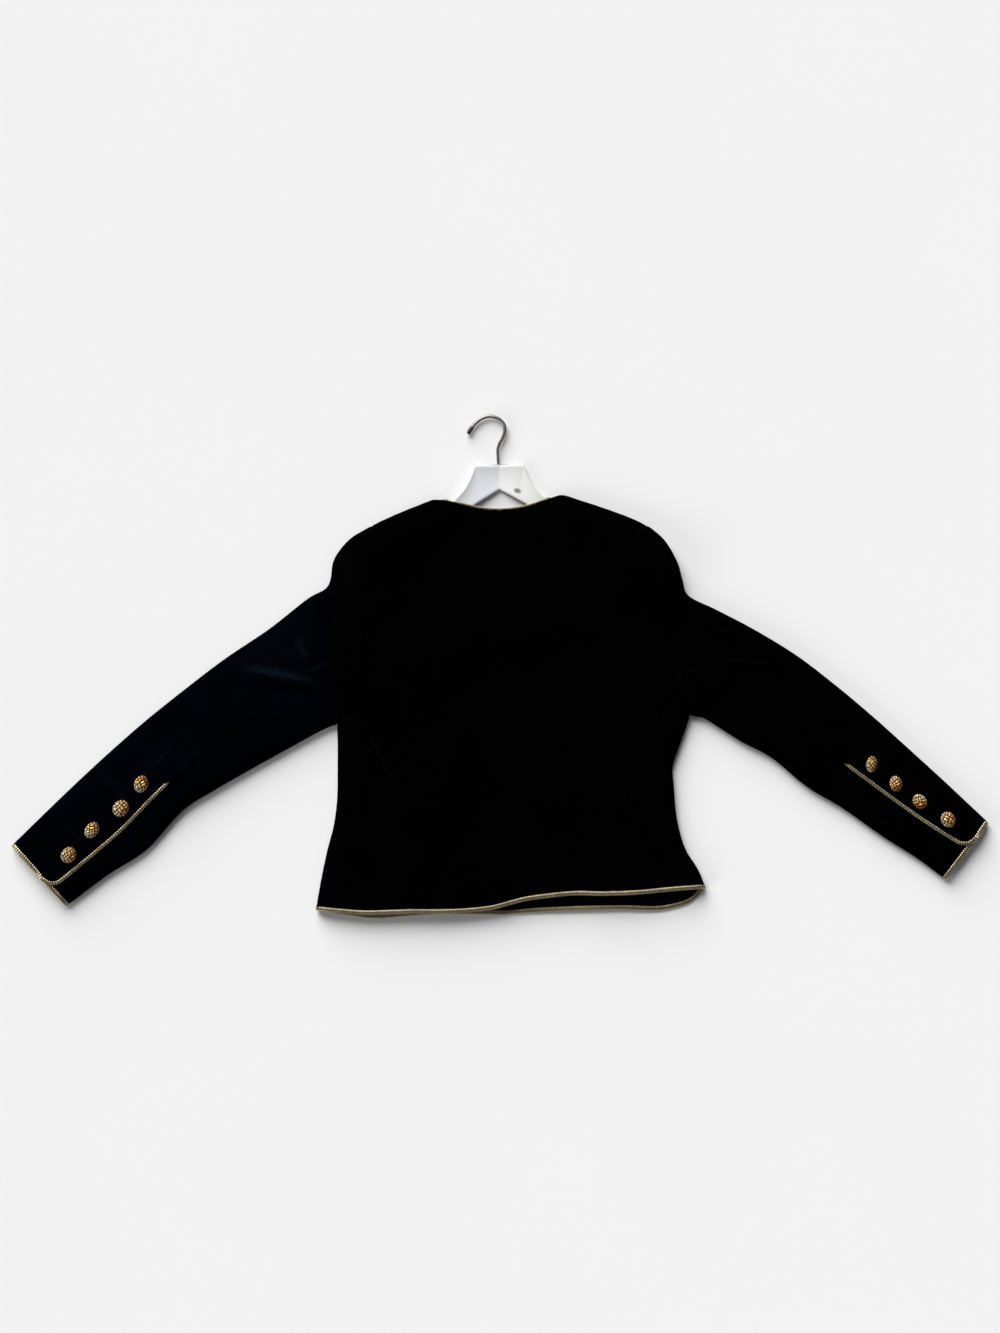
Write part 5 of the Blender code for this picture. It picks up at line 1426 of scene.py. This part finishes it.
def wound_thread():
    """The group that gilt cord and gold braid share. Tone is the raised strands, relief eased up from the
    groove, times a fine grain and a broad wear. Roughness goes down, and the bump up, with the grain."""
    group = bpy.data.node_groups.new("wound_thread", "ShaderNodeTree")
    sockets = (
        ("Place", "INPUT", "Vector"), ("Relief", "INPUT", "Float"), ("Groove", "INPUT", "Float"),
        ("Grain Scale", "INPUT", "Float"), ("Grain Height", "INPUT", "Float"),
        ("Mean Roughness", "INPUT", "Float"), ("Tone", "OUTPUT", "Float"),
        ("Roughness", "OUTPUT", "Float"), ("Normal", "OUTPUT", "Vector"),
    )
    for label, way, kind in sockets:
        group.interface.new_socket(label, in_out=way, socket_type="NodeSocket" + kind)
    given = group.nodes.new("NodeGroupInput").outputs
    result = group.nodes.new("NodeGroupOutput").inputs

    wear = noise(group, given["Place"], scale=190.0, detail=3.0)
    worn = ramp(group, wear, low=0.35, high=0.62, low_to=0.62)
    grain = noise(group, given["Place"], scale=given["Grain Scale"], detail=2.0, rough=0.7)
    raised = ramp(group, given["Relief"], low=given["Groove"], high=0.85)
    tone = maths(group, "MULTIPLY", raised, ramp(group, grain, low=0.3, high=0.7, low_to=0.72))
    group.links.new(maths(group, "MULTIPLY", tone, worn), result["Tone"])
    change = ramp(group, grain, low=0.3, high=0.7, low_to=0.12, high_to=-0.08)
    group.links.new(maths(group, "ADD", given["Mean Roughness"], change), result["Roughness"])
    group.links.new(bump(group, grain, distance=0.0003, strength=given["Grain Height"]), result["Normal"])
    return group


def metal_thread(name, group, colours, metallic, shine=None, **settings):
    """Thread wound with metal: lighter on its raised strands, dull and dark in its grooves. Its optional
    pair of colours, painted shade and painted highlight, is for where its painted light is -1 and +1, and
    settings are the group's."""
    material, tree, shader = new_material(name, Metallic=metallic)
    thread = add(tree, "Group", node_tree=group, **settings)
    tree.links.new(add(tree, "TexCoord").outputs["Object"], thread.inputs["Place"])
    tree.links.new(read_value(tree, "relief"), thread.inputs["Relief"])
    groove, strand = colours
    if shine:
        # painted shade and painted highlight blended into the strands' colour
        side = read_value(tree, "shine")
        for colour, end in zip(shine, (-1.0, 1.0)):
            strand = blend(tree, ramp(tree, side, low=0.0, high=end), strand, colour)
    tone = blend(tree, thread.outputs["Tone"], groove, strand)
    tree.links.new(tone, shader.inputs["Base Color"])
    for label in ("Roughness", "Normal"):
        tree.links.new(thread.outputs[label], shader.inputs[label])
    return material


def white_plastic():
    """Moulded white plastic, faintly uneven, greyer left of its middle with painted shade, with a flat dark
    grey oval painted on the right.
    """
    material, tree, shader = new_material("white_plastic", Roughness=0.38, Specular_IOR_Level=0.3)
    place = add(tree, "TexCoord").outputs["Object"]
    # a flat dark grey oval, painted, with no hollow in the shape
    mark = add(
        tree, "Mapping", vector_type="TEXTURE", Location=GREY_OVAL_PLACE, Rotation=(0, 0, GREY_OVAL_TURN),
        Scale=GREY_OVAL_SIZE,
    )
    round_mark = add(tree, "TexGradient", gradient_type="SPHERICAL")
    tree.links.new(place, mark.inputs["Vector"])
    tree.links.new(mark.outputs[0], round_mark.inputs["Vector"])
    # painted shade: the left half of the face is painted greyer and bluer
    face = blend(tree, ramp(tree, split_x(tree, place), *MIDDLE_SPAN), *PLASTIC_WITH_PAINTED_SHADE)
    grey_oval = ramp(tree, round_mark.outputs["Fac"], low=0.0, high=0.6)
    tree.links.new(blend(tree, grey_oval, face, GREY_OVAL), shader.inputs["Base Color"])
    uneven = noise(tree, place, scale=60.0)
    tree.links.new(bump(tree, uneven, distance=0.0003, strength=0.15), shader.inputs["Normal"])
    return material


def steel():
    """Drawn steel wire: streaks run along it. Its tip is a dull dark cap."""
    material, tree, shader = new_material("steel", Metallic=0.95)
    place = add(tree, "TexCoord").outputs["UV"]
    streaks = noise(tree, place, scale=900.0, detail=3.0, rough=0.6, stretch=(1.0, 0.05, 1.0))
    finish = ramp(tree, streaks, low=0.3, high=0.7, low_to=0.28, high_to=0.46)
    tree.links.new(finish, shader.inputs["Roughness"])
    tree.links.new(blend(tree, read_value(tree, "tip"), *WIRE), shader.inputs["Base Color"])
    return material


def black_thread():
    """Matt black sewing thread."""
    return new_material(
        "black_thread", Base_Color=(0.005, 0.008, 0.014, 1.0), Roughness=0.5, Specular_IOR_Level=0.5
    )[0]


def floor_material():
    """The pale, even surface that the jacket lies on."""
    material, tree, shader = new_material("floor", Roughness=0.95, Specular_IOR_Level=0.0)
    place = add(tree, "TexCoord").outputs["Object"]
    tree.links.new(blend(tree, noise(tree, place, scale=3.0), *FLOOR), shader.inputs["Base Color"])
    return material


# ---- the picture -----------------------------------------------------------------------------------

def camera():
    """A long lens looking straight down."""
    data = bpy.data.cameras.new("camera")
    data.sensor_fit = "AUTO"
    data.sensor_width = SENSOR
    data.lens = SENSOR * (CAMERA_HEIGHT - FOLD_HEIGHT) / (PICTURE_HEIGHT * PIXEL)
    data.clip_end = CLIP_END
    made = bpy.data.objects.new("camera", data)
    made.location = (CAMERA_PLACE[0] * MM, CAMERA_PLACE[1] * MM, CAMERA_HEIGHT * MM)
    bpy.context.scene.collection.objects.link(made)
    bpy.context.scene.camera = made


def light():
    """A wide soft light from above the neck and a little to the left, a weak one from the lower left that
    glints in the metal, and a weaker one from all round."""
    for sun in LIGHTS:
        data = bpy.data.lights.new(sun.name, "SUN")
        data.energy = sun.strength
        data.angle = math.radians(sun.spread)
        made = bpy.data.objects.new(sun.name, data)
        made.rotation_euler = (math.radians(90 - sun.height), 0, math.radians(sun.direction + 90))
        bpy.context.scene.collection.objects.link(made)
    world = bpy.data.worlds.new("surroundings")
    world.use_nodes = True
    sky = world.node_tree.nodes["Background"]
    sky.inputs["Color"].default_value = (1.0, 1.0, 1.0, 1.0)
    sky.inputs["Strength"].default_value = SKY_STRENGTH
    bpy.context.scene.world = world
    bpy.context.scene.view_settings.view_transform = "Standard"


def stage():
    """The floor: a wide level sheet beneath the jacket."""
    corners = np.array([[-1, -1, 0], [1, -1, 0], [1, 1, 0], [-1, 1, 0]])
    points = corners * FLOOR_REACH - [0, 0, FLOOR_DROP]
    floor = make_object("floor", points, [[0, 1, 2, 3]], [floor_material()])


# ---- the jacket ------------------------------------------------------------------------------------

def put(piece, node):
    """Hangs a piece under the root body, keeping its place in the frame, and hides the node it stands in
    for.
    """
    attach(piece, "root")
    if node:
        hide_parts(node)
    return piece


def build():
    """Every piece of the jacket, and its hanger."""
    pile, inside, thread_effect = velvet(), backing(), wound_thread()
    gold = metal_thread(
        "gold_braid", thread_effect, GOLD, metallic=0.9,
        Mean_Roughness=0.36, Grain_Scale=900.0, Grain_Height=0.5, Groove=0.1,
    )
    # the gilt cord's colour carries painted highlight and painted shade
    gilt = metal_thread(
        "gilt_cord", thread_effect, GILT, metallic=0.6, shine=(PAINTED_SHADE_GILT, PAINTED_HIGHLIGHT_GILT),
        Mean_Roughness=0.34, Grain_Scale=1500.0, Grain_Height=0.1, Groove=0.25,
    )
    thread, plastic, wire = black_thread(), white_plastic(), steel()

    sleeves = {}
    for side in ("left", "right"):
        sleeves[side] = top_sleeve(side)[0]
        cloths = {
            "side_back": side_back(side), "back": back(side), "front": front(side),
            "top_sleeve": sleeves[side], "under_sleeve": under_sleeve(side),
        }
        for name, cloth in cloths.items():
            node = f"{name}_{side}"
            put(cloth_object(f"{node}_cloth", cloth, [pile, inside]), node)

    braids = {"hem_braid": plait("hem_plait", hem_line(), gold, "hem")}
    braids["neck_braid"] = plait("neck_plait", neck_line(), gold, "neck")
    for side in ("left", "right"):
        (vent, run), cuff = vent_line(side), cuff_line(side)
        vent_name, cuff_name = f"vent_plait_{side}", f"cuff_plait_{side}"
        braids[f"vent_braid_{side}"] = plait(vent_name, vent, gold, "vent", run - VENT_CORNER)
        braids[f"cuff_braid_{side}"] = plait(cuff_name, cuff, gold, "cuff")
    for node, piece in braids.items():
        put(piece, node)

    for side, places in BUTTONS.items():
        middles = np.array(places)[:, :2]
        run = (middles[-1] - middles[0]) / np.linalg.norm(middles[-1] - middles[0])
        away = np.array([run[1], -run[0]]) * np.sign(-run[0])
        for number, place in enumerate(places, 1):
            node = f"button_{side}_{number}"
            turn = BUTTON_TURN * number + BUTTON_FIRST_TURN[side]
            made = button(f"{node}_cord", place, BUTTON_RADIUS[side], turn, node, gilt)
            put(made, node)
            hole = buttonhole(f"buttonhole_{side}_{number}", place, away, sleeves[side], thread)
            put(hole, None)

    put(hanger("moulded_hanger", plastic), "hanger")
    put(hook("wire_hook", wire), "hook")


camera()
light()
stage()
build()
